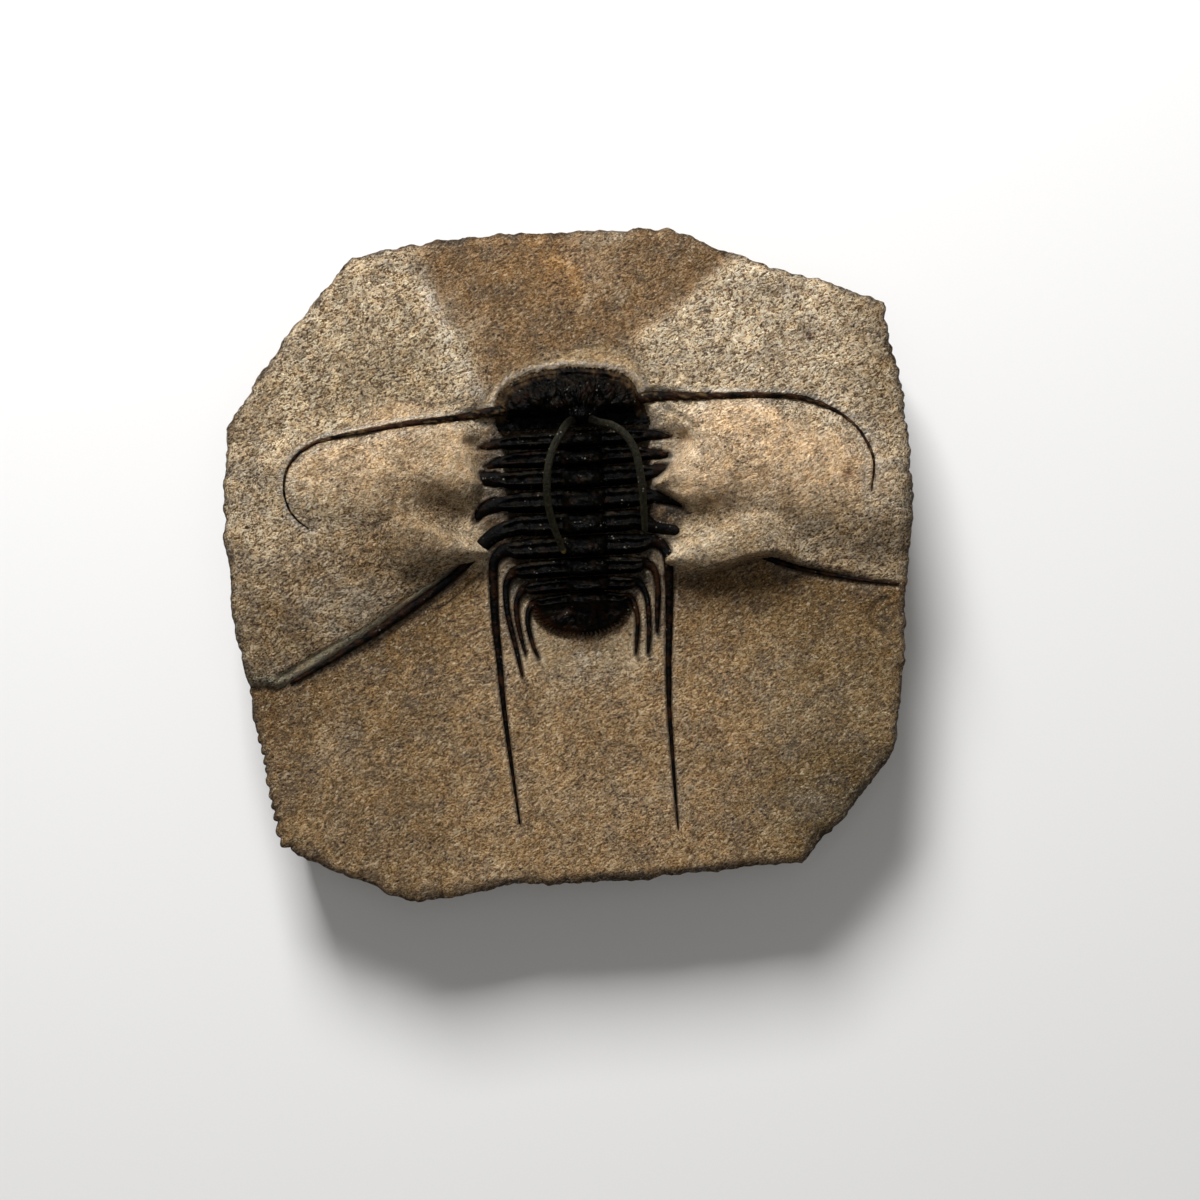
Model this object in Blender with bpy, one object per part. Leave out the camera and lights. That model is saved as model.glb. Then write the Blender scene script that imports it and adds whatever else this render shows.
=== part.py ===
"""A spiny trilobite, freed in relief on the slab of limestone that it lies in.

Frame: the slab lies on its flat underside, +Z is up and +Y runs towards the animal's head.
The origin is the middle of the underside. Every size below is a real one in millimetres,
and MM turns it into the metres of the model. The animal has a frame of its own, turned a
little on the slab, in which its left and right sides nearly match.
"""
import math

import bmesh
import bpy
import numpy as np
from mathutils import Vector

MM = 0.001

# The slab: its edge seen from above, anticlockwise from the right
SLAB_EDGE = [
    (53.1, 0.9), (53.5, 9.1), (53.1, 16.3), (52.3, 24.3), (51.1, 30.9), (50.0, 34.9), (49.1, 41.1),
    (38.6, 44.8), (32.8, 45.8), (21.8, 50.3), (18.0, 52.0), (14.9, 52.6), (5.4, 52.6), (-2.6, 52.0),
    (-10.6, 51.8), (-20.8, 50.9), (-24.6, 49.8), (-33.7, 48.0), (-36.0, 45.4), (-39.8, 40.8),
    (-48.0, 29.8), (-52.2, 22.9), (-53.1, 21.4), (-53.5, 14.0), (-53.5, 4.0), (-52.2, -8.3),
    (-50.3, -18.3), (-48.8, -26.9), (-46.8, -37.1), (-46.0, -41.8), (-44.9, -43.7), (-43.4, -44.8),
    (-36.9, -47.7), (-25.1, -52.6), (-23.2, -52.6), (-15.7, -51.5), (-8.6, -49.7), (-1.4, -49.8),
    (9.8, -49.2), (19.5, -48.0), (34.5, -46.3), (36.3, -46.9), (38.9, -43.7), (44.5, -37.4),
    (50.0, -30.3), (51.2, -27.7), (52.2, -18.3), (52.5, -4.6),
]
FACE_CELLS = 42              # grid cells along each side of the face
FACE_DENSE = 0.54            # cell size in the middle, as a share of the mean
WAIST_SHARE = 0.45           # height of the sides' waist, as a share of the edge's
WAIST_INSET = 0.6            # the waist lies this far in from the edge
SIDE_BULGE = 0.5             # how far the broken sides swell or shrink there
SIDE_WAVES = (0.31, 0.27)    # radians of that swell per millimetre across and along
FOOT_INSET = 1.6             # the underside is this much smaller all round
EDGE_ROUND = 2.4             # width of the worn band along the edge
EDGE_DROP = 1.1              # how far that band falls

# Heights of the face above the underside
FIELD_TOP = 23.2             # upper field, at its crest
FIELD_CREST = 12.0           # the crest lies this far along
FIELD_FALL = 1.6             # fall of the upper field over FIELD_REACH
FIELD_REACH = 55.0
RIGHT_FALL = 1.9             # further fall of its right corner, where the step fades out
RIGHT_ACROSS = (29.0, 50.0)  # that corner starts and ends here, across
RIGHT_ALONG = (26.0, 3.0)    # and here, along
LOWER_TOP = 19.4             # lower field, behind the animal
LOWER_FALL = 1.3             # its fall towards the rear edge
LOWER_ALONG = (5.0, -52.0)   # the lower field's start and end, along
SCOOP_FLOOR = 20.6           # hollow that leads from the head to the front edge
POCKET_FLOOR = 19.0          # bed that the animal stands on

# The step between the upper and the lower field, from left to right
STEP_LINE = [
    (-54.0, -18.3), (-50.3, -18.3), (-45.5, -18.8), (-44.2, -18.0), (-40.0, -15.6), (-34.5, -12.2),
    (-28.8, -8.5), (-24.3, -5.4), (-19.5, -1.9), (-16.2, -0.4), (-13.0, -1.0), (16.0, -1.4),
    (21.1, -0.9), (24.2, 0.0), (27.7, 1.2), (31.7, 1.9), (35.8, 0.4), (44.8, -1.6), (54.0, -2.4),
]
STEP_RUN = 1.6
SCOOP_LEFT = [(25.0, -13.4), (29.2, -13.8), (34.8, -15.2), (38.6, -19.4), (45.2, -22.9), (53.0, -26.0)]
SCOOP_RIGHT = [
    (25.0, 10.9), (29.4, 10.9), (34.5, 9.5), (36.8, 11.7), (39.2, 15.7), (41.8, 18.9), (53.0, 31.0),
]
SCOOP_RUN = 5.0              # run of its side walls
SCOOP_ALONG = (20.0, 27.0)   # it opens between these places, along

# Half-buried cones that make the mounds: tip, root, their radii and the heights of their backs
MOUND_CONES = [
    ((-14.6, 12.4), (-27.0, 13.2), 0.9, 9.5, 23.4, 27.2),
    ((-13.6, 2.9), (-28.0, 5.2), 0.8, 9.0, 22.6, 26.6),
    ((-24.0, 9.4), (-33.0, 8.2), 8.5, 12.5, 25.6, 26.4),
    ((14.2, 12.4), (29.0, 15.0), 0.9, 10.5, 23.6, 27.4),
    ((15.8, 1.6), (31.0, 7.4), 0.9, 9.0, 22.8, 27.0),
    ((24.0, 10.6), (36.0, 12.0), 9.0, 12.0, 26.0, 26.6),
]
MOUND_FLANK = 4.6            # how far a cone's flank falls over its radius
MOUND_SWELL = 0.85           # power by which a cone widens towards its root
MOUND_ARCH = 0.7             # power by which its back rises towards its root
MOUND_BLEND = 0.45           # softness of the creases where the mounds meet the face

# The animal's own frame on the slab
OWN_TURN = math.radians(3.1)
OWN_ORIGIN = (1.05, 10.3)
AXIS_SHIFT = 1.1             # the axial lobe lies this far right of the shell's middle

# Edge of the hollow that the animal lies in, in its own frame
POCKET_EDGE = [
    (-13.6, 15.4), (-9.2, 20.1), (-5.3, 21.7), (-2.5, 22.5), (1.0, 23.4), (3.5, 23.7), (6.4, 23.5),
    (8.8, 22.3), (10.9, 18.5), (12.9, 14.2), (16.3, 12.9), (19.4, 10.8), (20.4, 8.0), (19.5, 6.3),
    (17.5, 3.5), (17.9, -1.5), (17.8, -4.5), (16.6, -8.0), (15.2, -11.0), (14.6, -26.0), (3.0, -29.0),
    (-12.6, -28.0), (-15.0, -10.0), (-16.4, -6.0), (-17.6, -1.2), (-16.8, 3.0), (-17.2, 6.5),
    (-18.3, 10.1), (-15.8, 12.6),
]
POCKET_SOFT = 4.2            # run of its walls beside the thorax
MOAT_SOFT = 1.5              # run of its wall in front of the head
MOAT_ALONG = (17.0, 12.0)    # the wall softens between these places, along

SHELL_UNDER = 19.35          # underside of every plate of the shell

# Head shield, in the animal's own frame
HEAD_HALF_WIDTH = 11.6
HEAD_BACK = 11.35
HEAD_FRONT = [
    (-11.6, 15.5), (-10.7, 17.5), (-9.0, 18.8), (-6.1, 19.9), (-3.0, 20.4), (0.1, 20.5), (3.0, 20.3),
    (6.0, 19.8), (9.1, 18.7), (10.8, 17.3), (11.6, 15.5),
]
HEAD_RIM_TOP = 20.6
HEAD_RISE = 2.3              # swell of the shield over its rim
HEAD_SWELL_RUN = 4.5         # the swell is reached this far behind the front edge
HEAD_SIDE_STEEP = 1.6        # how much faster it falls at the sides
HEAD_BACK_STEEP = 2.2        # and at the back
HEAD_BACK_LIP = 1.0          # how far from the rim the back edge counts
HEAD_COLUMNS = 36
HEAD_ROWS = 6
HEAD_BED_COLUMNS = 12
TOOTH_REACH = 0.45           # length of the border's teeth
TOOTH_DIP = 0.3              # how far they bend down
# Lobes on the head: middle across, middle along, half width, half length, height
HEAD_LOBES = [
    (1.2, 16.4, 2.7, 3.1, 1.9), (-4.9, 16.0, 1.9, 1.8, 1.3), (5.6, 16.6, 1.5, 1.9, 1.2),
    (-8.2, 14.6, 2.0, 1.8, 0.7), (8.7, 15.0, 1.8, 1.8, 0.7), (1.7, 12.6, 2.5, 1.0, 1.9),
]

# Cheek spines, on the slab: across, along, height or None on the rock, radius
CHEEK_LEFT = [
    (-9.6, 24.3, 21.2, 0.95), (-12.6, 23.8, 21.7, 0.8), (-16.2, 23.1, 22.5, 0.66), (-18.8, 22.6, None, 0.6),
    (-23.2, 22.0, None, 0.55), (-28.5, 21.1, None, 0.5), (-36.9, 19.6, None, 0.42), (-40.4, 18.2, None, 0.4),
    (-42.8, 15.9, None, 0.36), (-43.9, 12.6, None, 0.33), (-43.4, 9.3, None, 0.28), (-42.0, 7.2, None, 0.24),
    (-40.2, 5.8, None, 0.18),
]
CHEEK_RIGHT = [
    (10.2, 26.0, 21.2, 0.95), (13.6, 26.3, 21.9, 0.75), (16.8, 26.3, 22.6, 0.68), (24.0, 26.3, None, 0.6),
    (30.0, 26.4, None, 0.52), (35.2, 26.2, None, 0.46), (38.8, 25.2, None, 0.42), (41.9, 23.7, None, 0.4),
    (44.4, 21.5, None, 0.36), (46.1, 18.7, None, 0.33), (46.9, 15.8, None, 0.26), (46.6, 12.5, None, 0.18),
]
# Horns, in the animal's own frame: across, along, height, radius
HORN_LEFT = [
    (0.6, 12.4, 24.0, 0.7), (-0.7, 11.5, 26.0, 0.62), (-1.8, 9.8, 27.6, 0.6), (-3.1, 7.4, 28.7, 0.6),
    (-3.9, 4.6, 29.3, 0.6), (-4.2, 1.6, 29.3, 0.6), (-4.1, -1.2, 28.8, 0.58), (-3.5, -4.2, 28.0, 0.55),
    (-2.7, -6.6, 27.2, 0.5), (-2.1, -8.4, 26.6, 0.44),
]
HORN_RIGHT = [
    (2.6, 12.4, 24.0, 0.7), (4.2, 11.5, 26.0, 0.62), (6.2, 10.8, 27.4, 0.6), (8.0, 9.3, 28.4, 0.6),
    (9.3, 7.0, 29.0, 0.6), (9.9, 4.2, 29.2, 0.6), (10.2, 1.2, 29.0, 0.58), (10.3, -2.4, 28.2, 0.54),
    (10.3, -5.9, 27.2, 0.46),
]

# Thorax, in the animal's own frame
SEGMENT_ALONG = [9.55, 6.75, 3.6, 0.1, -3.5, -7.1, -10.3, -13.0, -15.15]
SEGMENT_HALF = [1.15, 1.25, 1.5, 1.6, 1.6, 1.45, 1.2, 0.92, 0.8]
RING_TOP = 24.2
RING_HALF_WIDTH = 3.3
RING_SHOULDER = (2.2, 0.75)  # place across the ring, and the share of its rise that is left there
RIB_TOP = 21.7
RIB_REACH = [9.4, 9.4, 9.4, 9.4, 9.4, 9.4, 8.9, 7.4, 6.0]
SIDE_LEVEL = 20.4            # height of the short side spines
# Side spines of plates 1 to 4: (across, along, radius) on the left, then on the right
SIDE_SPINES = [
    ([(-12.0, 9.3, 0.6), (-14.0, 8.8, 0.25)], [(12.4, 9.5, 0.6), (14.7, 9.1, 0.25)]),
    ([(-11.6, 6.4, 0.6), (-13.2, 5.9, 0.25)], [(12.6, 6.5, 0.6), (14.8, 6.1, 0.25)]),
    ([(-12.4, 3.9, 0.95), (-14.9, 4.3, 0.5)], [(13.0, 3.9, 0.95), (16.3, 4.4, 0.35)]),
    ([(-12.6, -0.1, 0.85), (-14.6, -0.9, 0.6), (-15.4, -2.2, 0.3)],
     [(13.2, -0.2, 0.9), (16.0, -1.0, 0.6), (17.4, -2.4, 0.25)]),
]
# Long spines of plate 5, on the slab: across, along, height, radius
FIFTH_LEFT = [
    (-11.6, 4.9, 20.4, 1.0), (-14.4, 2.4, 20.2, 0.75), (-16.6, -0.2, 20.0, 0.6), (-20.2, -3.2, 19.9, 0.55),
    (-24.6, -6.4, 19.8, 0.5), (-30.4, -10.4, 19.65, 0.45), (-37.0, -14.5, 19.45, 0.38),
    (-43.6, -18.3, 19.2, 0.25),
]
FIFTH_RIGHT = [
    (13.4, 6.2, 20.4, 1.05), (17.4, 5.4, 20.3, 0.8), (22.0, 4.0, 20.2, 0.6), (27.4, 2.6, 20.0, 0.52),
    (32.4, 0.8, 19.85, 0.46), (36.4, -0.4, 19.75, 0.4), (41.0, -1.3, 19.65, 0.34), (46.5, -2.2, 19.55, 0.28),
    (51.6, -2.7, 19.4, 0.2),
]
# Rear spines of plates 6 to 9, in the animal's own frame, on the left and on the right
REAR_SPINES = [
    ([(-11.4, -7.2, 1.0), (-13.0, -8.4, 0.8), (-13.5, -10.8, 0.72), (-13.6, -17.9, 0.66),
      (-13.3, -24.1, 0.56), (-13.1, -29.9, 0.46), (-12.7, -36.0, 0.38), (-12.2, -42.0, 0.3),
      (-11.5, -50.2, 0.18)],
     [(11.6, -7.0, 1.0), (13.2, -8.0, 0.8), (13.8, -10.4, 0.72), (13.6, -17.9, 0.6), (13.1, -25.5, 0.5),
      (12.8, -32.9, 0.42), (12.9, -39.5, 0.34), (13.0, -45.6, 0.27), (13.2, -52.3, 0.18)]),
    ([(-10.3, -10.8, 0.75), (-11.5, -12.3, 0.5), (-11.7, -15.0, 0.46), (-11.4, -18.0, 0.42),
      (-10.5, -22.8, 0.34), (-9.8, -27.0, 0.2)],
     [(10.3, -10.3, 0.75), (11.7, -11.7, 0.5), (12.0, -14.6, 0.46), (11.7, -18.0, 0.38), (11.5, -21.4, 0.2)]),
    ([(-8.9, -13.5, 0.6), (-9.9, -14.8, 0.44), (-10.2, -16.6, 0.42), (-9.9, -19.6, 0.36), (-9.1, -23.6, 0.2)],
     [(8.9, -13.2, 0.6), (9.9, -14.5, 0.44), (10.3, -16.6, 0.42), (10.3, -20.4, 0.34), (9.9, -24.6, 0.2)]),
    ([(-7.4, -15.6, 0.5), (-8.3, -16.8, 0.4), (-8.5, -19.0, 0.36), (-7.8, -22.4, 0.28), (-7.0, -24.3, 0.18)],
     [(7.4, -15.4, 0.5), (8.3, -16.7, 0.4), (8.6, -19.0, 0.36), (8.3, -22.0, 0.28), (8.0, -24.5, 0.18)]),
]
REAR_LEVEL = 20.0            # height of the inner rear spines
OUTER_LEVEL = 20.3           # height of the outer pair where they leave the shell
OUTER_SINK = 0.05            # further back their middles lie this far below the rock's face
OUTER_ALONG = (-8.0, -20.0)  # between these places, along

# Tail shield, in the animal's own frame
TAIL_FRONT = -16.25
TAIL_LENGTH = 4.2
TAIL_HALF_WIDTH = 7.3
TAIL_ROUND = 0.96            # 1 would close its half disc to a point at the sides
TAIL_RIM_TOP = 20.2
TAIL_RISE = 1.5
TAIL_SWELL_RUN = 2.5         # its swell is reached this far from the rim
TAIL_SIDE_SHARE = 0.45       # share of the swell that the sides have
TAIL_LOBE_HALF = 2.4         # half width of its middle lobe
TAIL_COLUMNS = 20
TAIL_ROWS = 4

CLEARANCE = 0.3              # gap between the shell and the rock round it
TRENCH_HEADROOM = 1.2        # half of what an open trench rises over its spine's clearance
TRENCH_WALL = 1.1            # slope of an open trench's walls, rise over run
# Section of a plate or a spine, in shares of its half width and half height
BAR_SECTION = [(1.0, 0.0), (0.62, 0.9), (-0.62, 0.9), (-1.0, 0.0), (-0.62, -0.9), (0.62, -0.9)]

LIMESTONE = (0.30, 0.215, 0.135, 1.0)
BLACK_CALCITE = (0.012, 0.010, 0.008, 1.0)


def smooth_step(low, high, value):
    """0 below low, 1 above high, with a soft S between them."""
    share = np.clip((value - low) / (high - low), 0.0, 1.0)
    return share * share * (3.0 - 2.0 * share)


def along_line(points, value):
    """Reads a line given as (place, value) pairs, in increasing order of place."""
    places, values = zip(*points)
    return np.interp(value, places, values)


def to_slab(across, along):
    """From the animal's own frame to the slab's."""
    cos, sin = math.cos(OWN_TURN), math.sin(OWN_TURN)
    return OWN_ORIGIN[0] + across * cos - along * sin, OWN_ORIGIN[1] + across * sin + along * cos


def to_own(x, y):
    """From the slab's frame to the animal's own."""
    cos, sin = math.cos(OWN_TURN), math.sin(OWN_TURN)
    dx, dy = x - OWN_ORIGIN[0], y - OWN_ORIGIN[1]
    return dx * cos + dy * sin, dy * cos - dx * sin


def along_stretch(start, end, x, y):
    """Share of the way from start to end that is nearest to a place, and the distance to it."""
    run = np.subtract(end, start)
    share = np.clip(((x - start[0]) * run[0] + (y - start[1]) * run[1]) / (run @ run), 0.0, 1.0)
    return share, np.hypot(x - start[0] - share * run[0], y - start[1] - share * run[1])


def depth_inside(corners, x, y):
    """Distance to a closed outline, positive inside it."""
    nearest = np.full(np.shape(x), np.inf)
    inside = np.zeros(np.shape(x), dtype=bool)
    for start, end in zip(corners, corners[1:] + corners[:1]):
        nearest = np.minimum(nearest, along_stretch(start, end, x, y)[1])
        if start[1] != end[1]:
            level = (y - start[1]) / (end[1] - start[1])
            crosses = (start[1] > y) != (end[1] > y)
            inside ^= crosses & (x < start[0] + level * (end[0] - start[0]))
    return np.where(inside, nearest, -nearest)


def cone_height(cone, x, y):
    """Height of a half-buried cone's back, falling away on its flanks and past its ends."""
    tip, root, tip_radius, root_radius, tip_top, root_top = cone
    share, away = along_stretch(tip, root, x, y)
    radius = tip_radius + (root_radius - tip_radius) * share ** MOUND_SWELL
    top = tip_top + (root_top - tip_top) * share ** MOUND_ARCH
    return top - MOUND_FLANK * (away / radius) ** 2


def field_height(x, y):
    """Height of the slab's face over its underside, without the trenches of the spines."""
    x = np.asarray(x, dtype=float)
    y = np.asarray(y, dtype=float)
    across, along = to_own(x, y)
    upper = FIELD_TOP - FIELD_FALL * (x ** 2 + (y - FIELD_CREST) ** 2) / FIELD_REACH ** 2
    upper = upper - RIGHT_FALL * smooth_step(*RIGHT_ACROSS, x) * smooth_step(*RIGHT_ALONG, y)
    lower = LOWER_TOP - LOWER_FALL * smooth_step(*LOWER_ALONG, y)
    step = smooth_step(-STEP_RUN, STEP_RUN, y - along_line(STEP_LINE, x))
    height = lower + (upper - lower) * step
    in_scoop = np.minimum(x - along_line(SCOOP_LEFT, y), along_line(SCOOP_RIGHT, y) - x)
    scoop = smooth_step(-SCOOP_RUN / 2, SCOOP_RUN / 2, in_scoop) * smooth_step(*SCOOP_ALONG, y)
    height = height + (SCOOP_FLOOR - height) * scoop
    soft = MOAT_SOFT + (POCKET_SOFT - MOAT_SOFT) * smooth_step(*MOAT_ALONG, along)
    pocket = smooth_step(0.0, 1.0, depth_inside(POCKET_EDGE, across, along) / soft)
    height = height + (POCKET_FLOOR - height) * pocket
    for cone in MOUND_CONES:
        height = MOUND_BLEND * np.logaddexp(height / MOUND_BLEND, cone_height(cone, x, y) / MOUND_BLEND)
    return height


def rock_height(x, y):
    """Height of the slab's face, with the open trenches that lay the cheek and rear spines bare."""
    height = field_height(x, y)
    for route in open_routes():
        for start, end in zip(route, route[1:]):
            share, away = along_stretch(start[:2], end[:2], x, y)
            level = start[2] + (end[2] - start[2]) * share
            radius = start[3] + (end[3] - start[3]) * share
            height = np.minimum(height, level + np.maximum(0.0, away - radius - CLEARANCE) * TRENCH_WALL)
    return height


def edge_reach(angle):
    """Distance from the slab's middle to its edge in each direction."""
    corners = np.array(SLAB_EDGE)
    turns = np.arctan2(corners[:, 1], corners[:, 0])
    order = np.argsort(turns)
    corners = np.vstack([corners[order[-1:]], corners[order], corners[order[:1]]])
    turns = np.concatenate([turns[order[-1:]] - math.tau, turns[order], turns[order[:1]] + math.tau])
    start = np.clip(np.searchsorted(turns, angle, side="right") - 1, 0, len(turns) - 2)
    from_corner = corners[start]
    side = corners[start + 1] - from_corner
    reach = from_corner[:, 0] * side[:, 1] - from_corner[:, 1] * side[:, 0]
    return reach / (np.cos(angle) * side[:, 1] - np.sin(angle) * side[:, 0])


def face_places(bm_verts):
    """Spreads a square grid over the slab: dense in the middle, with its rim on the slab's edge."""
    square = np.array([vert.co[:2] for vert in bm_verts])
    ring = np.abs(square).max(axis=1)
    dense = square * (FACE_DENSE + (1.0 - FACE_DENSE) * ring[:, None] ** 2)
    half = np.abs(np.array(SLAB_EDGE)).max(axis=0)
    plain = dense * half
    angle = np.arctan2(plain[:, 1], plain[:, 0])
    square_reach = 1.0 / np.maximum(np.abs(np.cos(angle)) / half[0], np.abs(np.sin(angle)) / half[1])
    fit = edge_reach(angle) / square_reach
    spread = 1.0 + (fit - 1.0) * np.abs(dense).max(axis=1)
    return plain * spread[:, None], ring


def new_mesh_object(name, bm, collection):
    """Makes an object of the bmesh, turning its millimetres into metres."""
    bmesh.ops.scale(bm, vec=(MM, MM, MM), verts=bm.verts)
    bmesh.ops.recalc_face_normals(bm, faces=bm.faces)
    mesh = bpy.data.meshes.new(name)
    bm.to_mesh(mesh)
    bm.free()
    piece = bpy.data.objects.new(name, mesh)
    collection.objects.link(piece)
    return piece


def rim_edges(bm):
    return [edge for edge in bm.edges if edge.is_boundary]


def drop_rim(bm, place):
    """Extrudes the open rim and moves each new corner to place(corner)."""
    made = bmesh.ops.extrude_edge_only(bm, edges=rim_edges(bm))
    for vert in made["geom"]:
        if isinstance(vert, bmesh.types.BMVert):
            vert.co = place(vert.co)


def snap_rim(bm):
    """Puts the rim's nearest corner on each corner of the slab's edge."""
    rim = {vert for edge in rim_edges(bm) for vert in edge.verts}
    for x, y in SLAB_EDGE:
        nearest = min(rim, key=lambda vert: (vert.co.x - x) ** 2 + (vert.co.y - y) ** 2)
        nearest.co.x, nearest.co.y = x, y
        rim.discard(nearest)


def build_slab(collection):
    """The block of rock: a shaped face, broken sides and a flat underside."""
    bm = bmesh.new()
    bmesh.ops.create_grid(bm, x_segments=FACE_CELLS, y_segments=FACE_CELLS, size=1.0)
    places, ring = face_places(bm.verts)
    for vert, (x, y) in zip(bm.verts, places):
        vert.co.x, vert.co.y = x, y
    snap_rim(bm)
    x, y = np.array([vert.co[:2] for vert in bm.verts]).T
    worn = EDGE_DROP * smooth_step(1.0 - EDGE_ROUND / np.abs(SLAB_EDGE).max(), 1.0, ring)
    for vert, height in zip(bm.verts, rock_height(x, y) - worn):
        vert.co.z = height
    drop_rim(bm, waist_place)
    drop_rim(bm, foot_place)
    bmesh.ops.edgeloop_fill(bm, edges=rim_edges(bm))
    return new_mesh_object("matrix_slab", bm, collection)


def moved_in(corner, inset, height):
    """A corner of the rim moved towards the slab's middle and set at a height."""
    inward = 1.0 - inset / math.hypot(corner.x, corner.y)
    return Vector((corner.x * inward, corner.y * inward, height))


def waist_place(corner):
    swell = SIDE_BULGE * math.sin(SIDE_WAVES[0] * corner.x) * math.cos(SIDE_WAVES[1] * corner.y)
    return moved_in(corner, WAIST_INSET + swell, corner.z * WAIST_SHARE)


def foot_place(corner):
    return moved_in(corner, FOOT_INSET, 0.0)


def smooth_route(stations, steps):
    """Rounds a route of (x, y, z, radius) stations with a curve through them, steps per stretch."""
    points = [np.array(station, dtype=float) for station in stations]
    points = [2 * points[0] - points[1]] + points + [2 * points[-1] - points[-2]]
    rounded = []
    for before, start, end, after in zip(points, points[1:], points[2:], points[3:]):
        slope = end - before
        bend = 2 * before - 5 * start + 4 * end - after
        twist = 3 * start - before - 3 * end + after
        for step in range(steps):
            t = step / steps
            rounded.append(start + 0.5 * (slope * t + bend * t ** 2 + twist * t ** 3))
    return rounded + [points[-2]]


def add_bar(bm, stations):
    """Adds a bar through (x, y, z, half width, half height) stations by extruding its end."""
    centres = [Vector(station[:3]) for station in stations]
    circle = bmesh.ops.create_circle(bm, cap_ends=True, segments=len(BAR_SECTION), radius=1.0)
    corners = sorted(circle["verts"], key=lambda corner: math.atan2(corner.co.y, corner.co.x) % math.tau)
    for number, (centre, station) in enumerate(zip(centres, stations)):
        ahead = centres[min(number + 1, len(centres) - 1)] - centres[max(number - 1, 0)]
        ahead.normalize()
        aside = ahead.cross(Vector((0.0, 0.0, 1.0))).normalized()
        upward = aside.cross(ahead)
        if number:
            cap = next(face for face in corners[0].link_faces if set(corners) <= set(face.verts))
            made = bmesh.ops.extrude_discrete_faces(bm, faces=[cap])["faces"][0]
            moved = {tuple(round(value, 6) for value in corner.co): corner for corner in made.verts}
            corners = [moved[tuple(round(value, 6) for value in corner.co)] for corner in corners]
        for corner, (share_aside, share_up) in zip(corners, BAR_SECTION):
            corner.co = centre + aside * (station[3] * share_aside) + upward * (station[4] * share_up)


def new_bar(stations):
    """A bar whose first end is closed too, in a bmesh of its own."""
    bm = bmesh.new()
    add_bar(bm, stations)
    bmesh.ops.holes_fill(bm, edges=rim_edges(bm), sides=len(BAR_SECTION))
    return bm


def open_routes():
    """The spines that lie in open trenches: both cheek spines and the outer pair at the rear."""
    return [cheek_route(CHEEK_LEFT), cheek_route(CHEEK_RIGHT), *side_routes(5)]


def cheek_route(route):
    """Gives each (x, y, height, radius) station its height: its own, or that of the rock's face."""
    return [(x, y, float(field_height(x, y)) if z is None else z, radius) for x, y, z, radius in route]


def from_own(route, height):
    """Turns (across, along, radius) stations into (x, y, z, radius) ones on the slab."""
    placed = []
    for across, along, radius in route:
        x, y = to_slab(across, along)
        placed.append((x, y, height(across, along, x, y), radius))
    return placed


def round_bar(route):
    """Stations of a round bar along a route."""
    return [(x, y, z, radius, radius) for x, y, z, radius in route]


def with_clearance(stations, headroom=0.0):
    """The same bar, fatter and longer by the clearance, and open upwards by twice the headroom."""
    more = np.array((0.0, 0.0, headroom, CLEARANCE, CLEARANCE + headroom))
    fat = [np.array(station, dtype=float) + more for station in stations]
    for end, inner in ((0, 1), (-1, -2)):
        outward = fat[end][:3] - fat[inner][:3]
        fat[end][:3] += outward / np.linalg.norm(outward) * CLEARANCE
    return fat


def rib_stations(number):
    """Stations across one thorax plate, from its left rib over the axial ring to its right rib."""
    along = SEGMENT_ALONG[number]
    half = SEGMENT_HALF[number]
    reach = RIB_REACH[number]
    ring_middle = (RING_TOP + SHELL_UNDER) / 2
    rib_middle = (RIB_TOP + SHELL_UNDER) / 2
    rib_places = (RING_HALF_WIDTH, (RING_HALF_WIDTH + reach) / 2, reach)
    right_half = [(0.0, 1.0), RING_SHOULDER, *((place, 0.0) for place in rib_places)]
    stations = []
    for across, share in [(-across, share) for across, share in right_half[:0:-1]] + right_half:
        shift = AXIS_SHIFT * (1.0 - abs(across) / reach)
        x, y = to_slab(across + shift, along)
        middle = rib_middle + (ring_middle - rib_middle) * share
        stations.append((x, y, middle, half, middle - SHELL_UNDER))
    return stations


def rear_height(number):
    """Height of a rear spine's middle: the long ones sink into the rock, the others lie on it."""
    def height(across, along, x, y):
        if number:
            return REAR_LEVEL
        share = np.interp(-along, [-place for place in OUTER_ALONG], (0.0, 1.0))
        return OUTER_LEVEL + (float(field_height(x, y)) - OUTER_SINK - OUTER_LEVEL) * float(share)
    return height


def side_routes(number):
    """The spines at the left and right end of a thorax plate, as stations on the slab."""
    if number < 4:
        return [from_own(route, lambda across, along, x, y: SIDE_LEVEL) for route in SIDE_SPINES[number]]
    if number == 4:
        return [FIFTH_LEFT, FIFTH_RIGHT]
    return [from_own(route, rear_height(number - 5)) for route in REAR_SPINES[number - 5]]


def segment_stations(number):
    """One thorax plate from the tip of its left spine to the tip of its right one."""
    steps = 1 if number < 6 else 2
    left, right = (round_bar(smooth_route(route, steps)) for route in side_routes(number))
    return left[::-1] + rib_stations(number) + right


def build_segment(number, collection):
    """One thorax plate with the two spines that its ribs end in."""
    return new_mesh_object(f"thorax_segment_{number + 1}", new_bar(segment_stations(number)), collection)


def plate_grid(columns, rows, place, under):
    """A plate: a grid whose corners go to place(across, along), closed by a flat underside."""
    bm = bmesh.new()
    bmesh.ops.create_grid(bm, x_segments=columns, y_segments=rows, size=1.0)
    for vert in bm.verts:
        vert.co = place(vert.co.x, (vert.co.y + 1.0) / 2)
    drop_rim(bm, lambda corner: Vector((corner.x, corner.y, under)))
    bmesh.ops.edgeloop_fill(bm, edges=rim_edges(bm))
    return bm


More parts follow.
